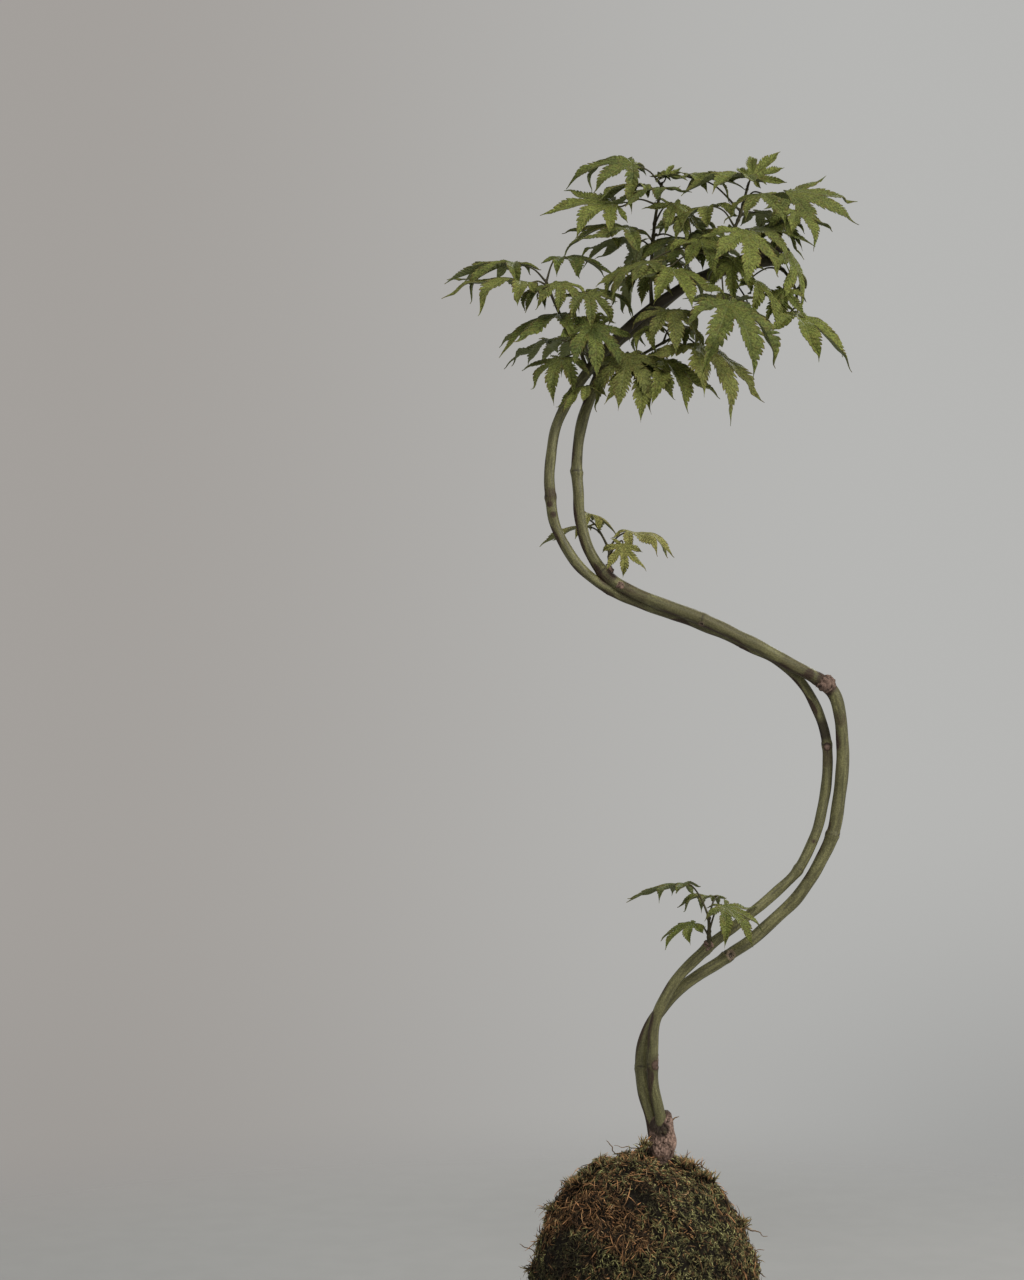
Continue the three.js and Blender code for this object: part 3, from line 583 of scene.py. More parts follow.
# Small tufts beside the collar and on the ball's sides, as (x, y, z, how far they spread, how many sprigs)
TUFTS = [
    (-0.001, -0.006, 0.1165, 0.0028, 60),
    (0.0004, -0.0068, 0.12, 0.0018, 40),
    (0.0012, -0.006, 0.122, 0.0013, 40),
    (-0.006, 0.002, 0.1125, 0.003, 30),
    (0.0195, -0.008, 0.1125, 0.0028, 50),
    (0.0285, -0.009, 0.1075, 0.0022, 26),
    (0.012, 0.0105, 0.1125, 0.0032, 30),
    (-0.0315, -0.007, 0.1035, 0.003, 46),
    (-0.0255, -0.008, 0.1085, 0.0026, 26),
    (-0.0405, -0.006, 0.0905, 0.003, 40),
    (-0.0475, -0.004, 0.0765, 0.003, 36),
    (-0.0525, -0.004, 0.0625, 0.003, 30),
    (0.0455, -0.006, 0.0845, 0.0026, 30),
    (0.0525, -0.004, 0.0665, 0.003, 30),
    (-0.0185, -0.004, 0.1118, 0.0045, 90),
    (-0.0325, -0.004, 0.1025, 0.0045, 90),
    (-0.0425, -0.004, 0.0905, 0.0038, 70),
    (0.0225, -0.003, 0.1108, 0.004, 90),
    (0.0315, -0.004, 0.105, 0.0035, 60),
    (0.0475, -0.004, 0.0835, 0.0035, 60),
    (-0.006, -0.012, 0.1142, 0.004, 70),
    (0.02, 0.024, 0.1065, 0.0045, 60),
    (-0.02, 0.026, 0.1035, 0.0045, 60),
    (0.005, 0.045, 0.0855, 0.0045, 60),
]

# ---------------------------------------------------------------- settings


def display(red, green, blue):
    """A colour as a screen shows it, from 0 to 255, as the linear light that shaders take."""
    return tuple((np.array([red, green, blue]) / 255) ** 2.2)


def length(name, description, default):
    return bpy.props.FloatProperty(name=name, description=description, default=default, min=0, unit="LENGTH")


def colour(name, description, default):
    return bpy.props.FloatVectorProperty(
        name=name, description=description, default=default, subtype="COLOR", size=3, min=0, max=1
    )


class KokedamaSizes(bpy.types.PropertyGroup):
    """The sizes that a user would change"""

    blade_thickness: length("Blade thickness", "How thick a leaf blade is", 0.0003)
    sprig_length: length("Sprig length", "How long a moss sprig is", 0.0031)
    sprig_width: length("Sprig width", "How wide a moss sprig is", 0.00054)
    fibre_length: length("Fibre length", "How long a dry moss fibre is", 0.0072)
    fibre_width: length("Fibre width", "How wide a dry moss fibre is", 0.00042)
    wrinkle_depth: length("Wrinkle depth", "How deep the root collar's wrinkles are", 0.0007)
    floor_radius: length("Floor radius", "How far the floor is solid before it fades out", 0.34)


class KokedamaColours(bpy.types.PropertyGroup):
    """The colours that a user would change"""

    leaf_deep: colour("Deep leaf", "An old leaf's green", display(77, 86, 46))
    leaf_lit: colour("Light leaf", "A full leaf's green", display(109, 116, 58))
    leaf_young: colour("Young leaf", "A new leaf's yellow green", display(136, 132, 76))
    leaf_under: colour("Leaf underside", "The pale underside", display(122, 128, 88))
    leaf_brown: colour("Leaf tips", "The brown of the tips and teeth", display(116, 84, 54))
    twig: colour("Twig", "Twigs and leaf stalks", display(74, 70, 46))
    bark_green: colour("Green bark", "The stems' green", display(124, 121, 82))
    bark_olive: colour("Olive bark", "The stems' darker streaks", display(86, 83, 57))
    # Brown bark also colours the stems' left and lower side, partly as painted shade
    bark_brown: colour("Brown bark", "The stems' weathered side and old joints", display(64, 50, 40))
    # Dark bark is also the painted shade on the stems' edges, inside the crown and on the collar
    bark_dark: colour("Dark bark", "Scars and creases", display(44, 36, 30))
    collar: colour("Collar bark", "The wrinkled root collar", display(170, 141, 126))
    cut_face: colour("Cut face", "The bare wood of a cut", display(168, 136, 108))
    # Deep moss colours the sprigs' roots and the shady patches, partly as painted shade
    moss_deep: colour("Deep moss", "Moss in the shade", display(50, 46, 40))
    moss_lit: colour("Light moss", "Moss at its tips", display(224, 219, 146))
    moss_dry: colour("Dry moss", "Dry orange-brown fibre", display(246, 176, 122))
    moss_straw: colour("Straw", "Bleached fibre", display(200, 180, 146))
    soil: colour("Soil", "The bed under the moss", display(27, 23, 20))
    backdrop: colour("Backdrop", "The pale surroundings", display(181, 181, 179))
    backdrop_shaded: colour("Shaded backdrop", "The surroundings' dimmer side", display(162, 158, 154))
    floor: colour("Floor", "The pale surface under the ball", display(168, 168, 166))


def sizes():
    return bpy.context.scene.kokedama_sizes


def colours():
    return bpy.context.scene.kokedama_colours


# ---------------------------------------------------------------- arrays


def smooth(value, low, high):
    """0 below low, 1 above high, and an even S between them."""
    share = np.clip((value - low) / (high - low), 0, 1)
    return share * share * (3 - 2 * share)


def unit(vectors):
    return vectors / np.maximum(np.linalg.norm(vectors, axis=-1, keepdims=True), 1e-12)


def ripple(points, size, seed, waves=14):
    """Smooth unevenness in space, mostly within 1 either way: the sum of sine waves in seeded directions,
    each about `size` from crest to crest."""
    rng = np.random.default_rng(seed)
    ways = unit(rng.normal(size=(waves, 3))) * 2 * np.pi / (size * rng.uniform(0.7, 1.5, (waves, 1)))
    return np.sin(points @ ways.T + rng.uniform(0, 2 * np.pi, waves)).sum(-1) / np.sqrt(waves / 2)


def wander(points, size, seeds):
    """Smooth unevenness in each of three directions."""
    return np.stack([ripple(points, size, seed) for seed in seeds], axis=-1)


def nearness(points, places):
    """How far each point is into any of the places (x, y, z, reach, how much): the most that one gives it,
    fading evenly from its middle to its reach."""
    near = np.zeros(points.shape[:-1])
    for x, y, z, reach, amount in places:
        away = np.linalg.norm(points - (x, y, z), axis=-1)
        near = np.maximum(near, amount * (1 - smooth(away, 0.45 * reach, reach)))
    return near


def smooth_line(route, spacing):
    """The smooth curve through a route, in even steps of about `spacing`. Between two of its points it is the
    cubic whose slopes there follow the points on either side, with each step's time the square root of its
    length, so that close points don't make it swing."""
    knots = np.array(route, float)
    ends = np.vstack([2 * knots[0] - knots[1], knots, 2 * knots[-1] - knots[-2]])
    times = np.sqrt(np.linalg.norm(np.diff(ends[:, :3], axis=0), axis=1))[:, None]
    before, start, stop, after = ends[:-3], ends[1:-2], ends[2:-1], ends[3:]
    t0, t1, t2 = times[:-2], times[1:-1], times[2:]
    leave = t1 * ((start - before) / t0 - (stop - before) / (t0 + t1) + (stop - start) / t1)
    arrive = t1 * ((stop - start) / t1 - (after - start) / (t1 + t2) + (after - stop) / t2)
    u = np.linspace(0, 1, 40, endpoint=False)[None, :, None]
    start, stop, leave, arrive = (array[:, None, :] for array in (start, stop, leave, arrive))
    fall = 3 * (stop - start) - 2 * leave - arrive
    line = start + leave * u + fall * u**2 + (2 * (start - stop) + leave + arrive) * u**3
    line = np.vstack([line.reshape(-1, knots.shape[1]), knots[-1]])
    lengths = np.concatenate([[0], np.cumsum(np.linalg.norm(np.diff(line[:, :3], axis=0), axis=1))])
    steps = max(int(round(lengths[-1] / spacing)), 2)
    along = np.linspace(0, lengths[-1], steps + 1)
    return np.stack([np.interp(along, lengths, column) for column in line.T], axis=1), along


def carried_axes(points):
    """At each point of a line: its direction, and two directions across it that turn as little as they can,
    the first of which starts out towards the viewer."""
    along = unit(np.gradient(points, axis=0))
    across = np.empty_like(along)
    current = np.array([0.0, -1.0, 0.0])
    for index, way in enumerate(along):
        current = unit(current - way * (current @ way))
        across[index] = current
    return along, across, np.cross(along, across)


# ---------------------------------------------------------------- meshes


class Shell:
    """Points, the faces between them, and named values on the points, of one closed surface."""

    def __init__(self, points, faces, paint=0, **values):
        self.points = np.asarray(points, float).reshape(-1, 3)
        self.faces = [np.asarray(part, int) for part in faces]
        self.paint = paint
        self.values = values


def lattice(rows, columns, wrap=False):
    """The four-sided faces of a grid of points, whose rows close on themselves if it wraps."""
    row, column = np.meshgrid(np.arange(rows - 1), np.arange(columns if wrap else columns - 1), indexing="ij")
    beside = (column + 1) % columns
    corners = [row * columns + column, row * columns + beside]
    corners += [corners[1] + columns, corners[0] + columns]
    return np.stack(corners, axis=-1).reshape(-1, 4)


def angles(sides):
    return 2 * np.pi * np.arange(sides) / sides


def around(across, other, sides):
    """The directions all round a line, from its two directions across."""
    angle = angles(sides)[:, None]
    return across[..., None, :] * np.cos(angle) + other[..., None, :] * np.sin(angle)


def fan(middle, start, sides, turned=False):
    """The three-sided faces between a middle point and the ring of points that begins at start."""
    side = np.arange(sides)
    ends = [start + side, start + (side + 1) % sides]
    return np.stack([np.full(sides, middle), *(ends[::-1] if turned else ends)], axis=1)


def tube(line, sides, radii=None, domes=(0.35, 0.35), paint=0, values=None):
    """A round tube along a line: ring k stands square to the line, and its points lie at the radius of that
    ring and side, round the line's own two directions across. Each end closes on a middle point, which stands
    out by a share of the radius. values gives named values for the rings' points."""
    points = line[:, :3]
    along, across, other = carried_axes(points)
    if radii is None:
        radii = np.repeat(line[:, 3:4], sides, axis=1)
    rings = points[:, None] + around(across, other, sides) * radii[..., None]
    foot = points[0] - along[0] * radii[0].mean() * domes[0]
    top = points[-1] + along[-1] * radii[-1].mean() * domes[1]
    count = len(points) * sides
    last = count - sides
    fans = [fan(count, 0, sides, turned=True), fan(count + 1, last, sides)]
    named = {}
    for name, value in (values or {}).items():
        value = np.asarray(value, float).reshape(count, 3)
        named[name] = np.vstack([value, value[:sides].mean(0), value[last:].mean(0)])
    faces = [lattice(len(points), sides, wrap=True), np.vstack(fans)]
    return Shell(np.vstack([rings.reshape(-1, 3), foot, top]), faces, paint, **named)


def ring_points(line, sides, radii=None):
    """The points of a tube's rings, without its ends."""
    return tube(line, sides, radii).points[:-2].reshape(len(line), sides, 3)


def build(name, shells, materials, flat_over=None):
    """One mesh object of several shells, with their named values as attributes, riding on the body."""
    starts = np.cumsum([0] + [len(shell.points) for shell in shells])
    points = np.vstack([shell.points for shell in shells])
    corners, counts, paints = [], [], []
    for shell, start in zip(shells, starts):
        for part in shell.faces:
            corners.append((part + start).ravel())
            counts.append(np.full(len(part), part.shape[1]))
            paints.append(np.full(len(part), shell.paint))
    corners, counts, paints = (np.concatenate(parts) for parts in (corners, counts, paints))
    mesh = bpy.data.meshes.new(name)
    mesh.vertices.add(len(points))
    mesh.vertices.foreach_set("co", points.astype(np.float32).ravel())
    mesh.loops.add(len(corners))
    mesh.loops.foreach_set("vertex_index", corners.astype(np.int32))
    mesh.polygons.add(len(counts))
    mesh.polygons.foreach_set("loop_start", np.concatenate([[0], np.cumsum(counts)[:-1]]).astype(np.int32))
    mesh.polygons.foreach_set("material_index", paints.astype(np.int32))
    mesh.update(calc_edges=True)
    mesh.shade_smooth()
    if flat_over:
        mesh.set_sharp_from_angle(angle=flat_over)
    for title in sorted({title for shell in shells for title in shell.values}):
        blank = [shell.values.get(title, np.zeros((len(shell.points), 3))) for shell in shells]
        attribute = mesh.attributes.new(title, "FLOAT_VECTOR", "POINT")
        attribute.data.foreach_set("vector", np.vstack(blank).astype(np.float32).ravel())
    for material in materials:
        mesh.materials.append(material)
    piece = bpy.data.objects.new(name, mesh)
    bpy.context.scene.collection.objects.link(piece)
    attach(piece, BODY)
    return piece


# ---------------------------------------------------------------- materials


class Shades:
    """A node material, or a world. Each method adds a node and gives back what it puts out, and a value for
    an input is a number, a colour or what another node puts out."""

    def __init__(self, name, kind="materials", shader="Principled BSDF", place="Object"):
        self.material = getattr(bpy.data, kind).new(name)
        self.material.use_nodes = True
        self.nodes = self.material.node_tree.nodes
        self.links = self.material.node_tree.links
        self.shader = self.nodes[shader]
        self.place = self.add("TexCoord", out=place)

    def set(self, socket, value):
        if isinstance(value, bpy.types.NodeSocket):
            self.links.new(value, socket)
        elif socket.type == "RGBA":
            socket.default_value = (*value, 1)
        else:
            socket.default_value = value

    def add(self, kind, inputs=None, out=0, **settings):
        node = self.nodes.new("ShaderNode" + kind)
        for name, value in settings.items():
            setattr(node, name, value)
        for key, value in (inputs or {}).items():
            self.set(node.inputs[key], value)
        return node.outputs[out]

    def parts(self, name):
        """The three values of a named vector on the mesh."""
        vector = self.add("Attribute", out="Vector", attribute_name=name)
        return [self.add("SeparateXYZ", {0: vector}, out=axis) for axis in range(3)]

    def noise(self, scale, detail=2.0, vector=None, roughness=0.5):
        inputs = {"Vector": self.place if vector is None else vector, "Scale": scale}
        return self.add("TexNoise", {**inputs, "Detail": detail, "Roughness": roughness})

    def math(self, operation, first, second=0.0):
        return self.add("Math", {0: first, 1: second}, operation=operation)

    def times(self, first, second):
        return self.math("MULTIPLY", first, second)

    def plus(self, first, second):
        return self.math("ADD", first, second)

    def most(self, first, second):
        return self.math("MAXIMUM", first, second)

    def step(self, value, low, high, start=0.0, stop=1.0):
        """An even S from start at low to stop at high."""
        inputs = {"Value": value, "From Min": low, "From Max": high, "To Min": start, "To Max": stop}
        return self.add("MapRange", inputs, interpolation_type="SMOOTHSTEP")

    def mix(self, share, first, second):
        return self.add("Mix", {0: share, 6: first, 7: second}, out=2, data_type="RGBA")

    def over(self, shade, *layers):
        """The shade with colours laid over it one after another, each as (its share, the colour)."""
        for share, colour in layers:
            shade = self.mix(share, shade, colour)
        return shade

    def brighten(self, shade, factor):
        return self.add("HueSaturation", {"Value": factor, "Color": shade})

    def bump(self, height, strength, distance, normal=None):
        inputs = {"Height": height, "Strength": strength, "Distance": distance}
        if normal is not None:
            inputs["Normal"] = normal
        return self.add("Bump", inputs)

    def finish(self, **inputs):
        for name, value in inputs.items():
            self.set(self.shader.inputs[name.replace("_", " ")], value)
        return self.material


def leaf_material():
    """Green blades: a thin paler midrib, faint side veins with a painted highlight on the bulges between them,
    a fine mottle, brown teeth and tips, a pale underside, and each leaf lighter, darker or yellower by its own
    tone."""
    shades, c = Shades("leaf_blade"), colours()
    across, phase, share = shades.parts("blade")
    tone, youth, under = shades.parts("leaf_tone")
    fine = shades.noise(1200, 3, roughness=0.7)
    lit = shades.plus(tone, shades.step(shades.noise(110, 4), 0.3, 0.7, -0.28, 0.28))
    side = shades.math("ABSOLUTE", across)
    wave = shades.math("ABSOLUTE", shades.math("SUBTRACT", shades.math("FRACT", phase), 0.45))
    vein = shades.times(shades.step(wave, 0.34, 0.5), shades.step(side, 0.95, 0.5))
    bulge = shades.times(shades.step(wave, 0.45, 0.05), shades.step(side, 0.02, 0.3))
    rib = shades.step(side, 0.09, 0.02)
    tips = shades.most(shades.step(share, 0.86, 1.0), shades.step(side, 0.86, 1.0, 0.0, 0.7))
    worn = shades.times(tips, shades.step(shades.noise(240, 2), 0.38, 0.58))
    shade = shades.over(c.leaf_deep, (lit, c.leaf_lit), (youth, c.leaf_young))
    # A painted highlight lightens the bulges between the side veins
    shade = shades.brighten(shade, shades.plus(0.94, shades.times(bulge, 0.12)))
    shade = shades.brighten(shade, shades.step(fine, 0.36, 0.64, 0.55, 1.5))
    shade = shades.over(
        shade,
        (shades.step(shades.noise(420, 3), 0.46, 0.72, 0.0, 0.22), c.leaf_brown),
        (shades.times(vein, 0.14), c.leaf_deep),
        (shades.times(rib, 0.3), c.leaf_under),
        (shades.times(worn, 0.75), c.leaf_brown),
        (shades.times(under, 0.7), c.leaf_under),
    )
    height = shades.plus(bulge, shades.times(shades.plus(rib, vein), -0.6))
    normal = shades.bump(height, 0.65, 0.0003, shades.bump(fine, 0.35, 0.0002))
    return shades.finish(Base_Color=shade, Roughness=0.62, Normal=normal, Specular_IOR_Level=0.16)


def twig_material():
    """Dark olive twigs and stalks, darker still in patches."""
    shades, c = Shades("leaf_twig"), colours()
    worn = shades.step(shades.noise(130, 3), 0.35, 0.65, 0.0, 0.5)
    shade = shades.mix(worn, c.twig, c.bark_dark)
    fine = shades.noise(1800, 2)
    shade = shades.brighten(shade, shades.step(fine, 0.3, 0.7, 0.8, 1.25))
    normal = shades.bump(fine, 0.3, 0.0002)
    return shades.finish(Base_Color=shade, Roughness=0.6, Normal=normal, Specular_IOR_Level=0.3)


def bark_material():
    """Young maple bark: green with olive and brown streaks along the grain, dark creases at the rings, dark
    scars with a pale edge, brown skin where it is old, pink-brown and cracked on the collar, and bare wood
    where it was cut. The brown on the stems' left and lower side is partly painted shade, and the dark on
    their other edge, inside the crown and on the collar's left side and foot is painted shade."""
    shades, c = Shades("stem_bark"), colours()
    grain = shades.add("Attribute", out="Vector", attribute_name="grain")
    crease, brown, dark = shades.parts("wear")
    eye, cut, wrinkle = shades.parts("marks")
    drawn_out = shades.add("Mapping", {"Vector": grain, "Scale": (1, 1, 0.12)})
    streak = shades.noise(700, 4, drawn_out, 0.6)
    broad = shades.noise(90, 3, drawn_out)
    speck = shades.noise(1500, 2, grain)
    eye = shades.times(eye, shades.step(speck, 0.3, 0.7, 0.55, 1.25))
    edge = shades.add("TexVoronoi", {"Vector": drawn_out, "Scale": 760}, feature="DISTANCE_TO_EDGE")
    crack = shades.times(shades.step(edge, 0.16, 0.02), shades.step(brown, 1.2, 1.7, 0.0, 0.6))
    old = shades.plus(brown, shades.times(shades.step(streak, 0.3, 0.7, -0.5, 0.5), brown))
    shade = shades.over(
        c.bark_olive,
        (shades.step(streak, 0.32, 0.72), c.bark_green),
        (shades.step(broad, 0.5, 0.72, 0.0, 0.4), c.bark_brown),
        (shades.step(old, 0.15, 0.85), c.bark_brown),
        (shades.times(shades.step(brown, 1.0, 1.9), shades.step(streak, 0.25, 0.6, 0.35, 1.0)), c.collar),
    )
    shade = shades.over(
        shades.brighten(shade, shades.step(speck, 0.3, 0.7, 0.72, 1.28)),
        (shades.most(wrinkle, crack), c.bark_dark),
        # dark: near-black places, the stubs' pits, and painted shade on the stems and collar
        (shades.times(dark, shades.step(streak, 0.2, 0.6, 0.6, 1.0)), c.bark_dark),
        (crease, c.bark_dark),
        (shades.step(eye, 0.05, 0.4, 0.0, 0.35), c.collar),
        (shades.step(eye, 0.6, 0.85), c.bark_dark),
        (cut, c.cut_face),
    )
    normal = shades.bump(shades.plus(streak, shades.times(speck, 0.5)), 0.3, 0.0003)
    worn = shades.most(brown, shades.most(dark, eye))
    rough = shades.plus(0.5, shades.times(worn, 0.25))
    return shades.finish(Base_Color=shade, Roughness=rough, Normal=normal, Specular_IOR_Level=0.35)


def moss_material():
    """Moss sprigs: near black at the root and lighter to the tip, partly their own colour and partly painted
    shade among the sprigs, and green, dry orange or straw by each sprig's own kind."""
    shades, c = Shades("moss_sprig"), colours()
    dry, tone, along = shades.parts("sprig")
    # The dark towards the root is partly the moss's own base and partly painted shade among the sprigs
    height = shades.step(along, 0.1, 0.85)
    green = shades.mix(shades.times(tone, height), c.moss_deep, c.moss_lit)
    fibre = shades.mix(shades.step(tone, 0.72, 1.0), c.moss_dry, c.moss_straw)
    fibre = shades.mix(shades.times(shades.step(tone, -0.2, 0.8), height), c.moss_deep, fibre)
    shade = shades.mix(dry, green, fibre)
    shade = shades.brighten(shade, shades.step(shades.noise(700, 2), 0.25, 0.75, 0.72, 1.28))
    return shades.finish(Base_Color=shade, Roughness=0.9, Specular_IOR_Level=0.12)


def soil_material(name):
    """Dark damp fibrous soil."""
    shades, c = Shades(name), colours()
    grain = shades.noise(600, 5, roughness=0.65)
    shade = shades.brighten(shades.mix(grain, c.soil, c.moss_deep), shades.step(grain, 0.3, 0.7, 0.5, 1.2))
    normal = shades.bump(grain, 0.7, 0.001)
    return shades.finish(Base_Color=shade, Roughness=0.95, Normal=normal, Specular_IOR_Level=0.1)


# ---------------------------------------------------------------- leaf blades


def lobe_rows(size, teeth, sides, rng):
    """The rows across one lobe, from the hub to the tip. Each row leaves the midrib and runs forward and out
    to the edge on either side, as a side vein does. Up to the cuts the edges follow the cuts' own lines, and
    past them the half width is a smooth swelling, (m/w)^a times ((1-m)/(1-w))^b of the distance m along the
    midrib, with w where it is widest. Each tooth lets it rise to its point and then drop back to the next,
    and the teeth are a little longer or shorter, and deeper or shallower, than each other. All but the
    rearmost lobes also stay inside the lines of their cuts."""
    tooth = np.concatenate([np.add.outer(np.arange(teeth), TOOTH_STEPS).ravel(), [teeth]])
    tail = teeth + TAIL * np.array([0.25, 0.5, 0.75, 1])
    phase = np.concatenate([tooth, tail])
    joints = np.concatenate([[0], np.cumsum(rng.uniform(0.6, 1.4, teeth)), [teeth + TAIL]])
    joints[1:-1] *= teeth / joints[-2]
    share = np.interp(phase, [*range(teeth + 1), teeth + TAIL], joints) / joints[-1]
    begin = min(max(cut_along - VEIN_SLANT * cut_out, 0.25 * cut_along) for cut_along, cut_out in sides)
    rib = begin + (size - begin) * share
    power = LOBE_TAPER * LOBE_WIDEST / (1 - LOBE_WIDEST)
    left = np.maximum((1 - rib / size) / (1 - LOBE_WIDEST), 0)
    swell = (rib / size / LOBE_WIDEST) ** power * left**LOBE_TAPER
    point = 1 - (1 - phase % 1) ** TOOTH_ROUND
    wedge = np.arange(WEDGE_ROWS) / WEDGE_ROWS
    halves = []
    for cut_along, cut_out in sides:
        depth = TOOTH_DEPTH * rng.uniform(*TOOTH_VARIETY, teeth + 1)[np.minimum(phase, teeth).astype(int)]
        bite = depth * smooth(share, 0, 0.08) * (phase < teeth)
        width = cut_out + (LOBE_WIDTH * size * swell - cut_out) * smooth(share, 0, 0.16)
        width = width * (1 - bite * (1 - point)) * (rib < size - 1e-9)
        slant = (cut_along - begin) / cut_out
        slant = slant + (VEIN_SLANT - slant) * smooth(share, 0, 0.2)
        if teeth > LOBES[0][2]:
            steep = cut_out / cut_along
            width = np.minimum(width, 0.96 * steep * rib / np.maximum(1 - slant * steep, 0.2))
        width[0] = cut_out
        edge_along = np.concatenate([cut_along * wedge, rib + slant * width])
        halves.append((edge_along, np.concatenate([cut_out * wedge, width])))
    rib = np.concatenate([begin * wedge, rib])
    phase = np.concatenate([np.zeros(WEDGE_ROWS), phase])
    return rib, phase, np.concatenate([np.zeros(WEDGE_ROWS), share]), halves


def turned(x, y, angle):
    """A flat point turned about the origin."""
    return x * np.cos(angle) - y * np.sin(angle), x * np.sin(angle) + y * np.cos(angle)


def leaf_pattern(rng):
    """A flat leaf, its middle lobe along +u and its hub at the origin, in shares of the middle lobe's length.
    Each lobe is a grid of rows across it, and points that lobes share are merged. Gives the points (u, v),
    the faces, the edges of its rim, and for each point how far across its lobe it is, from -1 to 1, how many
    teeth along, how far to the tip, how far out it stands from the midrib, and which lobe it is on."""
    columns = np.concatenate([-np.array(ACROSS[:0:-1]), ACROSS])
    spots, facts, faces, start = [], [], [], 0
    for index, (angle, size, teeth) in enumerate(LOBES):
        sides = []
        for cut, other in ((index - 1, index - 1), (index, index + 1)):
            inside = 0 <= other < len(LOBES)
            half = np.radians(abs(LOBES[other][0] - angle) / 2 if inside else 180 - abs(angle))
            reach = CUTS[cut] if inside else NOTCH
            sides.append((reach * np.cos(half), reach * np.sin(half)))
        rib, phase, share, halves = lobe_rows(size, teeth, sides, rng)
        along, out = np.empty((2, len(rib), len(columns)))
        for hand, (edge_along, edge_out) in zip((-1, 1), halves):
            here = columns * hand >= 0
            reach = np.abs(columns[here])
            along[:, here] = rib[:, None] + reach * (edge_along - rib)[:, None]
            out[:, here] = hand * reach * edge_out[:, None]
        spots.append(np.stack(turned(along, out, np.radians(angle)), -1).reshape(-1, 2))
        fact = [np.broadcast_to(value, out.shape) for value in (columns, phase[:, None], share[:, None])]
        fact += [np.abs(out), np.full(out.shape, index)]
        facts.append(np.stack(fact, -1).reshape(-1, 5))
        faces.append(lattice(len(rib), len(columns))[:, ::-1] + start)
        start += out.size
    spots, facts, faces = (np.concatenate(parts) for parts in (spots, facts, faces))
    _, first, merged = np.unique(np.round(spots, 7) + 0.0, axis=0, return_index=True, return_inverse=True)
    faces = merged.ravel()[faces]
    spots, facts = spots[first], facts[first]
    same = faces == np.roll(faces, -1, axis=1)
    quads = faces[~same.any(1)]
    single = same.sum(1) == 1
    threes = np.array([face[~drop] for face, drop in zip(faces[single], same[single])])
    return spots, [quads, threes], rim_of([quads, threes], len(spots)), facts


def rim_of(faces, count):
    """The directed edges that only one face has."""
    edges = np.concatenate([np.stack([part, np.roll(part, -1, axis=1)], -1).reshape(-1, 2) for part in faces])
    forward, backward = edges[:, 0] * count + edges[:, 1], edges[:, 1] * count + edges[:, 0]
    return edges[~np.isin(forward, backward)]


def leaf_axes(turn, dip, roll):
    """A leaf's own directions: forward along the middle lobe, to its left, and up out of the blade."""
    turn, dip, roll = np.radians([turn, dip, roll])
    forward = np.array([np.cos(turn) * np.cos(dip), np.sin(turn) * np.cos(dip), -np.sin(dip)])
    level = np.array([-np.sin(turn), np.cos(turn), 0])
    left = level * np.cos(roll) + np.cross(forward, level) * np.sin(roll)
    return forward, left, np.cross(forward, left)


def blade(pattern, hub, axes, size, bend, youth, rng):
    """A leaf blade. Each point leaves the hub in its own direction in the leaf's plane and follows an arc
    that curls down, turning through `bend` at the middle lobe's length, so at angle a it is sin(a) of the
    arc's radius out and 1 - cos(a) down. Each lobe folds up from its rib, and it has a length, a bend, a
    sweep sideways and a lean to one side of its own. The whole ripples a little and bulges between its
    veins."""
    spots, faces, rim, facts = pattern
    forward, left, up = axes
    across, phase, share, out, lobe = facts.T
    lobe = lobe.astype(int)
    free = smooth(share, 0.02, 1)
    side = np.abs(across)
    fold, tone = rng.uniform(*BLADE_FOLD), rng.uniform(0.1, 0.9)
    free = free * np.where(lobe == len(LOBES) // 2, STEADY_LOBE, 1)
    sweep = rng.uniform(-LOBE_SWEEP, LOBE_SWEEP, len(LOBES))[lobe] * free
    lean = rng.uniform(-LOBE_LEAN, LOBE_LEAN, len(LOBES))[lobe] * free
    droop = 1 + rng.uniform(*LOBE_DROOP, len(LOBES))[lobe] * free
    stretch = 1 + rng.uniform(-LOBE_STRETCH, LOBE_STRETCH, len(LOBES))[lobe] * free
    u, v = turned(*spots.T, sweep)
    way = unit(forward * u[:, None] + left * v[:, None] + 1e-9 * forward)
    curl = np.radians(bend) * droop / size
    reach = np.hypot(u, v) * stretch * size
    angle = (curl * reach)[:, None]
    surface = hub + way * np.sin(angle) / curl[:, None] + up * (np.cos(angle) - 1) / curl[:, None]
    normal = up * np.cos(angle) + way * np.sin(angle)
    rise = size * out * (fold + lean * np.sign(across)) - 0.4 * fold * LOBE_WIDTH * size * free
    rise += QUILT * np.sin(np.pi * (phase % 1)) * side * free
    rise += BLADE_WAVE * ripple(surface, 0.011, rng.integers(1 << 30)) * (0.3 + free)
    surface = surface + normal * rise[:, None]
    half = sizes().blade_thickness / 2
    rib = RIB_DEPTH * (1 - smooth(side, 0.02, 0.1)) * (1 - 0.8 * share)
    points = np.vstack([surface + normal * half, surface - normal * (half + rib)[:, None]])
    count = len(spots)
    below = [part[:, ::-1] + count for part in faces]
    wall = np.stack([rim[:, 1], rim[:, 0], rim[:, 0] + count, rim[:, 1] + count], axis=1)
    own = np.tile([tone, np.clip(youth + rng.uniform(-0.12, 0.12), 0, 1), 0], (2 * count, 1))
    own[count:, 2] = 1
    marks = np.tile(np.stack([across, phase, share], 1), (2, 1))
    return Shell(points, [*faces, *below, wall], blade=marks, leaf_tone=own)


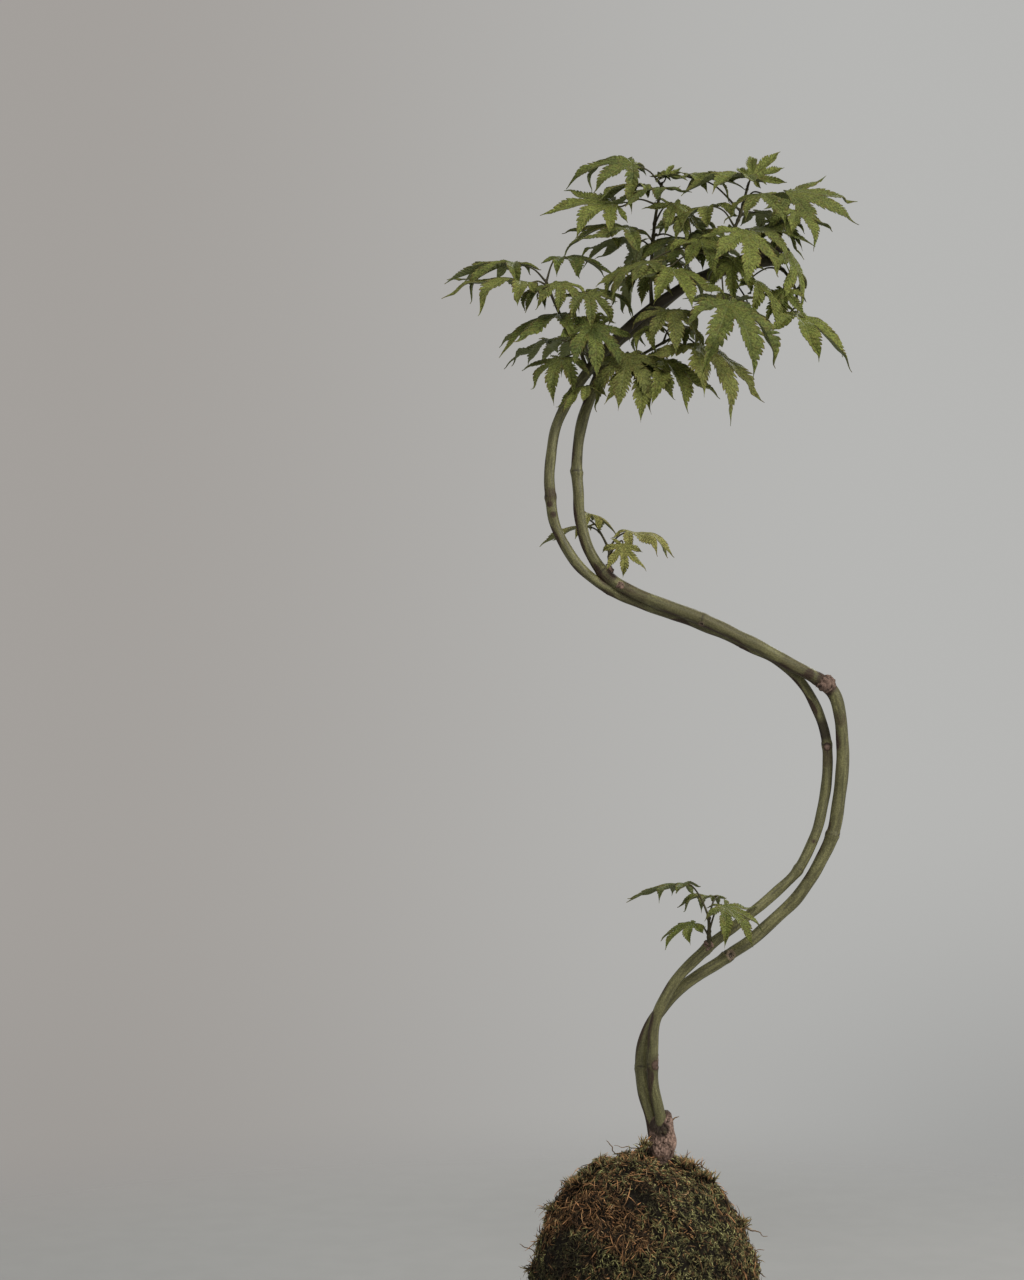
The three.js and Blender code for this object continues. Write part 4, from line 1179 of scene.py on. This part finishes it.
def stalk(start, hub, axes):
    """A leaf stalk: from the twig, bowed a little upwards, to the blade's hub from behind and below."""
    forward, _, up = axes
    to = hub - up * STALK["below"]
    before = to - forward * STALK["straight"] - up * STALK["below"]
    middle = (start + before) / 2 + [0, 0, STALK["bow"] * np.linalg.norm(before - start)]
    radii = [STALK["radius"] * 1.5, STALK["radius"], STALK["radius"], STALK["end"]]
    route = [[*point, radius] for point, radius in zip((start, middle, before, to), radii)]
    line, _ = smooth_line(route, STALK_SPACING)
    return tube(line, STALK_SIDES, paint=1)


def bud(start, way):
    """A small pointed bud: a tube whose radius, at the share s along it, is a straight rise times a power of
    1 - s, so that it swells and closes to a point."""
    share = np.linspace(0, 1, 8)
    radii = BUD["radius"] * (0.55 + 1.5 * share) * (1 - share) ** 0.8 * 1.35
    line = np.column_stack([start + way * BUD["length"] * share[:, None], radii])
    return tube(line, BUD["sides"], paint=1)


def twig_shell(route, shares):
    """A twig: a tube that flares where it leaves the stem and thickens where each leaf stalk leaves it."""
    line, along = smooth_line(route, TWIG["spacing"])
    swell = 1 + TWIG["flare"] * np.exp(-along / TWIG["flare_reach"])
    for share in shares:
        swell = swell + TWIG_NODE["rise"] * np.exp(-(((along - share * along[-1]) / TWIG_NODE["reach"]) ** 2))
    line[:, 3] *= TWIG["slim"] * swell
    return tube(line, TWIG["sides"], paint=1)


def shoot_shells(name, patterns):
    """A shoot's twig, and each leaf's stalk, bud and blade."""
    rng = np.random.default_rng(sum(name.encode()))
    route, rows = SHOOTS[name]["twig"], SHOOTS[name]["leaves"] + SMALL_LEAVES.get(name, [])
    line, _ = smooth_line(route, TWIG["spacing"])
    shells = [twig_shell(route, sorted({row[0] for row in rows}))]
    for share, hub, turn, dip, roll, size, bend in rows:
        axes = leaf_axes(turn, dip, roll)
        start = line[int(round(share * (len(line) - 1))), :3]
        hub = np.array(hub)
        pattern = patterns[rng.integers(len(patterns))]
        shells.append(blade(pattern, hub, axes, size, bend, YOUTH.get(name, USUAL_YOUTH), rng))
        shells.append(stalk(start, hub, axes))
        lean = unit(unit(hub - start) + [0, 0, 0.8])
        shells.append(bud(start + lean * 0.0004, lean))
    return shells


# ---------------------------------------------------------------- the woody plant


def eyes(points):
    """How near each point is to an eye-shaped scar: 1 in its dark middle, and 0 beyond its pale edge."""
    near = np.zeros(points.shape[:-1])
    for x, y, z, radius in EYES:
        away = np.linalg.norm((points - (x, y, z)) / (1, 1, 1.25), axis=-1)
        near = np.maximum(near, 1 - smooth(away, 0.6 * radius, 2.6 * radius))
    return near


def facing(points, line, side, seed=0):
    """How far each point of a tube's rings is into one of the sides of the bark."""
    outwards = unit(points - line[:, None, :3])
    strength, size = side["broken"]
    uneven = strength * ripple(points, size, seed)
    return side["amount"] * smooth(outwards @ np.array(side["way"]) + uneven, *side["span"])


def bark_values(grain, crease=0, brown=0, dark=0, eye=0, wrinkle=0):
    """The named values that the bark's material reads: where each point lies along the grain, its creases,
    brown and dark, of which brown and dark are partly painted shade, and its marks. Brown runs up to 2, where
    it is pink-brown. The middle mark is the bare wood of a cut."""
    wear, marks = (
        np.stack([np.broadcast_to(value, grain.shape[:-1]) for value in row], axis=-1)
        for row in ((crease, brown, dark), (eye, 0, wrinkle))
    )
    return {"grain": grain, "wear": wear, "marks": marks}


def stem_shell(route, rings, crown_shade, seed):
    """A stem: a round tube whose radius is uneven in long low waves, with fine ridges along the grain. At
    each old leaf scar a low ridge runs round it with a fine groove in its middle, a little tilted. Its upper
    end is a bare cut."""
    line, along = smooth_line(route, STEM_SPACING)
    angle = angles(STEM_SIDES)
    rng = np.random.default_rng(seed)
    radii = np.repeat(line[:, 3:4], STEM_SIDES, axis=1)
    crease = np.zeros_like(radii)
    for share, strength in rings:
        tilt = RING["tilt"] * np.cos(angle + rng.uniform(0, 2 * np.pi))
        away = along[:, None] - share * along[-1] + tilt
        reach = np.where(away < 0, RING["below"], RING["above"])
        groove = strength * np.exp(-((away / GROOVE["reach"]) ** 2))
        radii = radii + strength * RING["ridge"] * np.exp(-((away / reach) ** 2))
        radii = radii - GROOVE["depth"] * groove
        crease = np.maximum(crease, 0.8 * np.minimum(groove, 1))
    rounds = [GRAIN_RADIUS * np.cos(angle), GRAIN_RADIUS * np.sin(angle), along[:, None]]
    grain = np.stack([np.broadcast_to(value, radii.shape) for value in rounds], axis=-1)
    for (depth, size), drawn_out, offset in ((STEM_WAVES, 0.5, 0), (STEM_GRAIN, 0.06, 1)):
        radii = radii + depth * ripple(grain * (1, 1, drawn_out), size, seed + offset)
    points = ring_points(line, STEM_SIDES, radii)
    eye = eyes(points)
    rim = np.exp(-(((eye - 0.35) / 0.2) ** 2)) * (eye > 0)
    radii = radii - EYE["pit"] * smooth(eye, 0.5, 1) + EYE["rim"] * rim
    brown = np.maximum(nearness(points, BROWN_PLACES), 2 * nearness(points, PINK_PLACES))
    brown = np.maximum(brown, 0.5 * np.exp(-((crease - 1) ** 2) / 0.3) * (crease > 0.05))
    # The stems' left and lower side is brown, partly as brown bark and partly as painted shade
    brown = np.maximum(brown, facing(points, line, BROWN_AND_SHADED_SIDE, seed + 2))
    # Near-black places, and painted shade on the stems' right, back and lower edge
    dark = np.maximum(nearness(points, DARK_PLACES), facing(points, line, SHADED_SIDE))
    # Painted shade darkens the bark inside the crown, under the leaves
    dark = np.maximum(dark, crown_shade * smooth(points[..., 2], *SHADED_CROWN))
    shell = tube(line, STEM_SIDES, radii, values=bark_values(grain, crease, brown, dark, eye))
    shell.values["marks"][-1, 1] = 1
    return shell


def collar_shell():
    """The root collar: a bulb of old wrinkled bark. The wrinkles are narrow valleys along the zero lines of a
    smooth field that is drawn out up the bulb, over a coarser field that makes it lumpy."""
    line, _ = smooth_line(COLLAR, COLLAR_SPACING)
    points = ring_points(line, COLLAR_SIDES)
    depth, size = COLLAR_LUMPS
    lumps = depth * ripple(points * (1, 1, 0.7), size, 41)
    reach, size = WRINKLE_WANDER
    bent = points @ np.array(WRINKLE_SLANT).T + reach * wander(points, size, (42, 43, 44))
    valley = 0
    for size, width, deep, seed in WRINKLES:
        valley = valley + deep * np.exp(-((ripple(bent, size, seed) / width) ** 2))
    top = smooth(points[..., 2], *COLLAR_TOP)
    radii = line[:, 3:4] + lumps * (1 - 0.6 * top) - sizes().wrinkle_depth * valley
    radii = radii * (1 + 0.22 * top * np.cos(angles(COLLAR_SIDES) * 2 + 0.6))
    brown = (2 - 0.8 * top) * (1 - nearness(points, GREEN_PLACES))
    # Near-black places, and painted shade on the collar's left side and at its foot where it rises out of the
    # moss
    dark = np.maximum(nearness(points, DARK_PLACES), facing(points, line, COLLAR_SHADE, 47))
    dark = np.maximum(dark, 0.7 * (1 - smooth(points[..., 2], *COLLAR_FOOT)))
    values = bark_values(points * (1, 1, 2.5), brown=brown, dark=dark, wrinkle=np.clip(valley, 0, 1))
    return tube(line, COLLAR_SIDES, radii, values=values)


def stub_shell(route, seed):
    """A cut stub: a short knobbly tube of old bark, rough all over, with dark pits."""
    line, along = smooth_line(route, STUB_SPACING)
    points = ring_points(line, STUB_SIDES)
    (height, broad), (depth, fine) = STUB_LUMPS, STUB_PITS
    pits = smooth(ripple(points, fine, seed + 1), 0.6, 1.6)
    ends = 1 - 0.45 * smooth(along / along[-1], 0.72, 1)[:, None] ** 2
    radii = line[:, 3:4] * ends + height * ripple(points, broad, seed) - depth * pits
    values = bark_values(points, brown=STUB_BROWN, dark=0.8 * pits)
    return tube(line, STUB_SIDES, radii, domes=(0.35, 0.5), values=values)


# ---------------------------------------------------------------- the moss ball


def direction(longitude, latitude):
    """The direction from the ball's middle at a longitude, from +X towards +Y, and a latitude, in radians."""
    longitude, latitude = np.broadcast_arrays(longitude, latitude)
    level = np.cos(latitude)
    return np.stack([level * np.cos(longitude), level * np.sin(longitude), np.sin(latitude)], axis=-1)


def ball_point(way, inset=0.0, relief=0.0):
    """The ball's surface in a direction: a round with a taller crown than foot, `relief` proud of the plain
    round and `inset` inside it, cut flat at the foot."""
    height = np.where(way[..., 2] > 0, BALL["crown"], BALL["foot"]) - inset + relief
    across = BALL["radius"] - inset + relief
    point = way * np.stack([across + 0 * height, across + 0 * height, height], axis=-1)
    point[..., 2] = np.maximum(point[..., 2] + BALL["waist"], inset + FOOT_CLEAR)
    return point


def ball_relief(way):
    """The moss's broad lumps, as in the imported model, with smaller cushions on them."""
    longitude, latitude = np.arctan2(way[..., 1], way[..., 0]), np.arcsin(np.clip(way[..., 2], -1, 1))
    broad = np.sin(3 * longitude + 1.3 + 2 * latitude) * np.cos(4 * latitude - 0.6 + np.sin(longitude))
    return LUMP * broad + 0.0009 * ripple(way, 0.22, 5) + 0.0003 * ripple(way, 0.07, 6)


def patch_share(way, patches, seed):
    """How far each direction is into any of the patches, whose edges are broken up by a seeded unevenness."""
    near = np.zeros(way.shape[:-1])
    for longitude, latitude, reach in patches:
        middle = direction(np.radians(longitude), np.radians(latitude))
        away = np.degrees(np.arccos(np.clip(way @ middle, -1, 1)))
        near = np.maximum(near, 1.25 - away / reach)
    return smooth(near + 0.22 * ripple(way, 0.16, seed) + 0.12 * ripple(way, 0.05, seed + 1), 0.15, 0.55)


def bed_ways(rim, shares):
    """Rings of directions round the collar's hole: each share is how far its ring has come from the hole's
    rim, an angle from the hole's middle, to the point opposite."""
    fall = rim + (np.pi - BED["pole"] - rim) * shares
    tilt = np.arcsin(COLLAR_X / BALL["radius"])
    turn = np.array([[np.cos(tilt), 0, np.sin(tilt)], [0, 1, 0], [-np.sin(tilt), 0, np.cos(tilt)]])
    return direction(angles(BED["sides"])[None, :], np.pi / 2 - fall[:, None]) @ turn.T


def bed():
    """The bed that the sprigs grow from: a closed hollow skin round the soil, from the rim of the collar's
    hole down the outside and across the foot, and from there up the inside and back to the rim."""
    rim, sides = HOLE_RADIUS / BALL["radius"], BED["sides"]
    ways = bed_ways(rim, np.linspace(0, 1, BED["outside"]))
    outside = ball_point(ways, 0, ball_relief(ways) - BED_DEPTH)
    inside = ball_point(bed_ways(rim * BED["inner_rim"], np.linspace(1, 0, BED["inside"])), SKIN_DEPTH)
    outer, inner = len(outside) * sides, len(inside) * sides
    poles = [outside[-1].mean(0), inside[0].mean(0)]
    points = np.vstack([outside.reshape(-1, 3), inside.reshape(-1, 3), poles])
    side = np.arange(sides)
    beside = (side + 1) % sides
    top = outer + inner - sides
    walls = [
        lattice(len(outside), sides, wrap=True)[:, ::-1],
        lattice(len(inside), sides, wrap=True)[:, ::-1] + outer,
        np.stack([side, beside, top + beside, top + side], 1),
    ]
    fans = [fan(outer + inner, outer - sides, sides, turned=True), fan(outer + inner + 1, outer, sides)]
    return Shell(points, [np.vstack(walls), np.vstack(fans)])


def tapers(roots, ways, curls, lengths, radii, values, profile):
    """Many short curved tapers as one shell. A taper leaves its root in its own way and leans over by its
    curl at each joint. Its section has three sides, as wide as its profile says, and it closes on its tip.
    values are how dry each one is and its tone."""
    joints = len(profile)
    count = len(roots)
    step = np.arange(joints)[None, :, None]
    ways = unit(ways[:, None] + curls[:, None] * step)
    moves = ways[:, :-1] * (lengths / (joints - 1))[:, None, None]
    places = roots[:, None] + np.concatenate([np.zeros((count, 1, 3)), np.cumsum(moves, axis=1)], axis=1)
    across = unit(np.cross(ways, unit(curls + 1e-6)[:, None]))
    spread = around(across[:, :-1], np.cross(ways, across)[:, :-1], SPRIG_SIDES)
    width = (radii[:, None] * np.array(profile[:-1]))[..., None, None]
    rings = places[:, :-1, None] + spread * width
    points = np.concatenate([rings.reshape(count, -1, 3), places[:, -1:]], axis=1)
    points[..., 2] = np.maximum(points[..., 2], FOOT_CLEAR)
    a_taper = points.shape[1]
    tip = a_taper - 1
    wall = lattice(joints - 1, SPRIG_SIDES, wrap=True)
    ends = np.vstack([[2, 1, 0], np.roll(fan(tip, tip - SPRIG_SIDES, SPRIG_SIDES), -1, axis=1)])
    starts = (np.arange(count) * a_taper)[:, None, None]
    along = np.append(np.repeat(np.arange(joints - 1), SPRIG_SIDES), joints - 1) / (joints - 1)
    along = np.broadcast_to(along[None, :, None], (count, a_taper, 1))
    kind = np.concatenate([np.repeat(values[:, None], a_taper, axis=1), along], axis=2)
    faces = [(wall[None] + starts).reshape(-1, 4), (ends[None] + starts).reshape(-1, 3)]
    return Shell(points, faces, sprig=kind.reshape(-1, 3))


def bake_map(mesh, count, joints):
    """Lays each taper out flat in a cell of its own in a square, its sides next to each other, for baking."""
    cells = int(np.ceil(np.sqrt(count)))
    row, side = np.divmod(np.arange((joints - 2) * SPRIG_SIDES), SPRIG_SIDES)
    wall = np.stack([[side, side + 1, side + 1, side], [row + 1, row + 1, row + 2, row + 2]], -1)
    base = [[0, 1], [3, 1], [1.5, 0]]
    tips = [[[s, joints], [s + 1, joints], [s + 0.5, joints + 1]] for s in range(SPRIG_SIDES)]
    size = np.array([SPRIG_SIDES, joints + 1]) * (1 + 2 * CELL_MARGIN)
    corner = (np.stack(np.divmod(np.arange(count), cells), -1)[:, ::-1] + CELL_MARGIN) / cells
    flat = [np.reshape(part, (-1, 2)) / size / cells for part in (wall.transpose(1, 0, 2), [base, *tips])]
    places = [(part[None] + corner[:, None]).reshape(-1, 2) for part in flat]
    mesh.uv_layers.new(name="OFBake").uv.foreach_set("vector", np.vstack(places).astype(np.float32).ravel())


def even_directions(count, rng):
    """Directions spread evenly over a ball: from the top down in even steps of height, each turned on by the
    golden angle, and both a little uneven."""
    height = 1 - 2 * (np.arange(count) + rng.uniform(0, 1, count)) / count
    longitude = GOLDEN_ANGLE * np.arange(count) + rng.normal(0, 0.02, count)
    return direction(longitude, np.arcsin(height))


def grown(ways, size, width, kind, rng):
    """Sprigs or dry fibres, as one shell, rooted on the ball in the given directions, and how many they are.
    Each leans from the surface's normal by an angle drawn at random, to a side that its clump has mostly in
    common, and curls over to another side. None grows in the collar's hole or under the foot, and fewer on
    the bare patches. A sprig is dry in the dry patches and here and there outside them."""
    roots = ball_point(ways, 0, ball_relief(ways) - BED_DEPTH)
    normals = unit(ways * (1, 1, 0.85))
    count = len(ways)
    dry = patch_share(ways, DRY_PATCHES, 11)
    shady = patch_share(ways, SHADY_PATCHES, 13)
    bare = patch_share(ways, BARE_PATCHES, 15)
    clear = np.hypot(roots[:, 0] - COLLAR_X, roots[:, 1]) > HOLE_RADIUS - COLLAR_ROOM
    keep = (clear | (roots[:, 2] < BALL["waist"] + 0.03)) & (roots[:, 2] > LOWEST_ROOT)
    keep &= rng.uniform(0, 1, count) > BARE["thinned"] * bare
    if kind is FIBRE:
        keep &= rng.uniform(0, 1, count) < FIBRES_OUTSIDE + dry
    flow = wander(ways, CLUMP, (51, 52, 53)) + rng.normal(0, 0.6, (count, 3))
    side = unit(np.cross(normals, flow))
    other = unit(np.cross(normals, rng.normal(size=(count, 3))))
    tilt = np.radians(rng.uniform(*kind["lean"], count))[:, None]
    ways_out = normals * np.cos(tilt) + side * np.sin(tilt)
    bend = (other * 0.8 - normals * 0.25) * rng.uniform(*kind["curl"], (count, 1))
    lengths = size * rng.uniform(*VARIETY["length"], count) * (1 - BARE["shorter"] * bare)
    share, stretch = LONG_SPRIGS
    lengths = lengths * np.where(rng.uniform(0, 1, count) < share, stretch, 1)
    radii = width / 2 * rng.uniform(*VARIETY["width"], count)
    clump = 1 + VARIETY["clump_tone"] * ripple(ways, CLUMP, 54)
    # Painted shade darkens the sprigs in the shady patches
    tone = rng.beta(*SPRIG["tone"], count) * (1 - SPRIG["shaded"] * shady) * clump
    tone = np.clip(tone + 0.03, 0, 1)
    stray = STRAY_DRY["anywhere"] + STRAY_DRY["top"] * smooth(ways[:, 2], 0.75, 0.95)
    stray = stray + STRAY_DRY["right"] * smooth(ways[:, 0], 0.7, 0.95)
    mixed = np.clip(dry + (rng.uniform(0, 1, count) < stray), 0, 1) * rng.uniform(*SPRIG["dry"], count)
    # Dry sprigs get more painted shade in the shady patches, and sprigs in the dry patches are darker
    tone = tone * (1 - 0.5 * shady * (mixed > 0.3)) * (1 - 0.45 * dry)
    if kind is FIBRE:
        mixed = rng.uniform(*FIBRE["dry"], count)
        # Painted shade darkens the fibres in the shady patches
        tone = rng.beta(*FIBRE["tone"], count) * (1 - FIBRE["shaded"] * shady)
    roots = roots - normals * kind["depth"]
    values = np.stack([mixed, tone], axis=-1)
    drawn = [array[keep] for array in (roots, ways_out, bend, lengths, radii, values)]
    return tapers(*drawn, kind["profile"]), int(keep.sum())


def tuft_shell(rng):
    """Sprigs bunched beside the collar and on the ball's sides, which stand off the ball."""
    parts = []
    for x, y, z, spread, count in TUFTS:
        out = unit(np.array([x, y, z - BALL["waist"]]))
        offset = rng.normal(0, spread / 2, (count, 3)) * (1, 1, 0.3)
        roots = np.array([x, y, z]) + offset - TUFT["depth"] * out
        ways = unit(out + rng.normal(0, TUFT["lean"], (count, 3)))
        bends = rng.normal(0, TUFT["curl"], (count, 3))
        lengths = rng.uniform(*TUFT["length"], count)
        values = np.stack([rng.uniform(0, 1, count) ** 2, rng.uniform(0, 0.55, count)], axis=-1)
        parts.append((roots, ways, bends, lengths, np.full(count, TUFT["radius"]), values))
    return tapers(*(np.concatenate(part) for part in zip(*parts)), SPRIG["profile"])


def loose_shells():
    """Loose fibres that stand off the ball, each a thin tube on a slack arc from its root to its tip,
    wavering a little and coloured as a half dry sprig."""
    shells = []
    for root, tip, lift, radius in LOOSE_FIBRES:
        root, tip = np.array(root), np.array(tip)
        middle = (root + tip) / 2 + (0, 0, lift)
        route = [[*root, radius * 1.2], [*middle, radius], [*tip, radius * 0.45]]
        line, along = smooth_line(route, LOOSE["spacing"])
        line[:, :3] += LOOSE["waver"] * wander(line[:, :3], LOOSE["waver_size"], (61, 62, 63))
        share = np.repeat(along / along[-1], LOOSE["sides"])
        kind = np.stack([np.full(len(share), 0.6), np.full(len(share), 0.12), 0.4 + 0.6 * share], -1)
        shells.append(tube(line, LOOSE["sides"], values={"sprig": kind}))
    return shells


# ---------------------------------------------------------------- operators


class KOKEDAMA_OT_stage(bpy.types.Operator):
    """Sets up the camera, the pale floor, the surroundings and the soft lights"""

    bl_idname = "kokedama.stage"
    bl_label = "Stage"

    def execute(self, context):
        camera = bpy.data.objects.new("camera", bpy.data.cameras.new("camera"))
        camera.location = CAMERA_PLACE
        camera.rotation_euler = (np.pi / 2, 0, 0)
        camera.data.lens = CAMERA_LENS
        camera.data.sensor_width = CAMERA_SENSOR
        camera.data.clip_start, camera.data.clip_end = 0.01, 50
        context.scene.collection.objects.link(camera)
        context.scene.camera = camera
        context.scene.view_settings.view_transform = "Standard"
        self.surroundings(context)
        self.floor(context)
        for light in LIGHTS:
            self.lamp(context, *light)
        return {"FINISHED"}

    def surroundings(self, context):
        """Soft light all round, stronger from the right, and a backdrop painted brighter to the right, with
        painted shade low down that is darkest in the corner at the lower right."""
        shades, c = Shades("surroundings", "worlds", "Background", "Generated"), colours()
        across, height = (shades.add("SeparateXYZ", {0: shades.place}, out=axis) for axis in "XZ")
        seen = shades.mix(shades.step(across, *BACKDROP_SPAN), c.backdrop_shaded, c.backdrop)
        seen = shades.brighten(seen, shades.step(height, *BACKDROP_LOW))
        corner = shades.brighten(seen, shades.step(height, *BACKDROP_CORNER))
        seen = shades.mix(shades.step(across, *CORNER_SPAN), seen, corner)
        shades.set(shades.shader.inputs["Color"], seen)
        around = shades.step(across, -1, 1, *AMBIENT)
        ambient = shades.add("Background", {"Color": c.backdrop, "Strength": around})
        camera = shades.add("LightPath", out="Is Camera Ray")
        either = shades.add("MixShader", {0: camera, 1: ambient, 2: shades.shader.outputs[0]})
        shades.set(shades.nodes["World Output"].inputs["Surface"], either)
        context.scene.world = shades.material

    def lamp(self, context, name, place, size, power, tint):
        data = bpy.data.lights.new(name, "AREA")
        data.shape, data.size, data.energy, data.color = "DISK", size, power, tint
        lamp = bpy.data.objects.new(name, data)
        way = Vector(LIGHT_AIM) - Vector(place)
        lamp.location = place
        lamp.rotation_euler = way.to_track_quat("-Z", "Y").to_euler()
        context.scene.collection.objects.link(lamp)

    def floor(self, context):
        """A round pale floor, a hair below the plant's foot, that fades into the surroundings."""
        radius, rows, sides = sizes().floor_radius, 24, 64
        reach = np.linspace(0.01, 1, rows)[:, None] * 4 * radius
        ring = angles(sides)
        points = np.stack([reach * np.cos(ring), reach * np.sin(ring), 0 * reach * ring - 0.0002], -1)
        mesh = bpy.data.meshes.new("floor")
        faces = [*lattice(rows, sides, wrap=True)[:, ::-1].tolist(), list(range(sides))]
        mesh.from_pydata(points.reshape(-1, 3).tolist(), [], faces)
        shades = Shades("pale_floor")
        away = shades.add("VectorMath", {0: shades.place}, out="Value", operation="LENGTH")
        solid = shades.step(away, radius, 2.4 * radius, 1.0, 0.0)
        shade = shades.brighten(colours().floor, shades.step(shades.noise(40, 3), 0.3, 0.7, 0.985, 1.015))
        mesh.materials.append(shades.finish(Base_Color=shade, Roughness=0.9, Alpha=solid))
        floor = bpy.data.objects.new("floor", mesh)
        context.scene.collection.objects.link(floor)


class KOKEDAMA_OT_soil_core(bpy.types.Operator):
    """Gives the packed soil core its damp dark finish"""

    bl_idname = "kokedama.soil_core"
    bl_label = "Soil core"

    def execute(self, context):
        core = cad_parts["soil_core"]
        core.data.materials.clear()
        core.data.materials.append(soil_material("soil_core"))
        return {"FINISHED"}


class KOKEDAMA_OT_moss_ball(bpy.types.Operator):
    """Builds the moss ball: the bed, the sprigs, the dry fibres and the loose ones"""

    bl_idname = "kokedama.moss_ball"
    bl_label = "Moss ball"

    def execute(self, context):
        s = sizes()
        bed_piece = build("moss_bed", [bed()], [soil_material("moss_bed")])
        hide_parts("moss_skin")
        moss = moss_material()
        rng = np.random.default_rng(7)
        ways = even_directions(SPRIG_PIECES * SPRIGS_A_PIECE, rng)
        for index in range(SPRIG_PIECES):
            shell, count = grown(ways[index::SPRIG_PIECES], s.sprig_length, s.sprig_width, SPRIG, rng)
            piece = build(f"moss_sprigs_{index + 1}", [shell], [moss])
            bake_map(piece.data, count, len(SPRIG["profile"]))
        shell, count = grown(even_directions(DRY_FIBRES, rng), s.fibre_length, s.fibre_width, FIBRE, rng)
        piece = build("moss_dry_fibres", [shell], [moss])
        bake_map(piece.data, count, len(FIBRE["profile"]))
        build("moss_tufts", [tuft_shell(rng), *loose_shells()], [moss])
        return {"FINISHED"}


class KOKEDAMA_OT_woody_plant(bpy.types.Operator):
    """Builds the two stems, the root collar and the cut stubs"""

    bl_idname = "kokedama.woody_plant"
    bl_label = "Woody plant"

    def execute(self, context):
        shells = [*(stem_shell(*stem) for stem in STEMS), collar_shell()]
        shells += [stub_shell(route, 31 + 2 * index) for index, route in enumerate(STUBS)]
        plant = build("woody_plant_bark", shells, [bark_material()])
        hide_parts("woody_plant")
        return {"FINISHED"}


class KOKEDAMA_OT_leafy_shoots(bpy.types.Operator):
    """Builds each leafy shoot with its twig, stalks, buds and toothed blades"""

    bl_idname = "kokedama.leafy_shoots"
    bl_label = "Leafy shoots"

    def execute(self, context):
        rng = np.random.default_rng(3)
        patterns = [leaf_pattern(rng) for _ in range(LEAF_PATTERNS)]
        materials = [leaf_material(), twig_material()]
        for name in SHOOTS:
            piece = build(name + "_leaves", shoot_shells(name, patterns), materials, np.radians(60))
            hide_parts(name)
        return {"FINISHED"}


STEPS = (
    KOKEDAMA_OT_stage,
    KOKEDAMA_OT_soil_core,
    KOKEDAMA_OT_moss_ball,
    KOKEDAMA_OT_woody_plant,
    KOKEDAMA_OT_leafy_shoots,
)


class KOKEDAMA_PT_panel(bpy.types.Panel):
    """The kokedama's steps and settings in the 3D view's sidebar"""

    bl_idname = "KOKEDAMA_PT_panel"
    bl_label = "Kokedama"
    bl_space_type = "VIEW_3D"
    bl_region_type = "UI"
    bl_category = "Kokedama"

    def draw(self, context):
        for step in STEPS:
            self.layout.operator(step.bl_idname)
        for group in (context.scene.kokedama_sizes, context.scene.kokedama_colours):
            for name in group.bl_rna.properties.keys():
                if name in type(group).__annotations__:
                    self.layout.prop(group, name)


CLASSES = (KokedamaSizes, KokedamaColours, *STEPS, KOKEDAMA_PT_panel)


def register():
    for item in CLASSES:
        bpy.utils.register_class(item)
    bpy.types.Scene.kokedama_sizes = bpy.props.PointerProperty(type=KokedamaSizes)
    bpy.types.Scene.kokedama_colours = bpy.props.PointerProperty(type=KokedamaColours)


def unregister():
    del bpy.types.Scene.kokedama_colours
    del bpy.types.Scene.kokedama_sizes
    for item in reversed(CLASSES):
        bpy.utils.unregister_class(item)


def main():
    register()
    bpy.ops.kokedama.stage()
    bpy.ops.kokedama.soil_core()
    bpy.ops.kokedama.moss_ball()
    bpy.ops.kokedama.woody_plant()
    bpy.ops.kokedama.leafy_shoots()


if __name__ == "__main__":
    main()
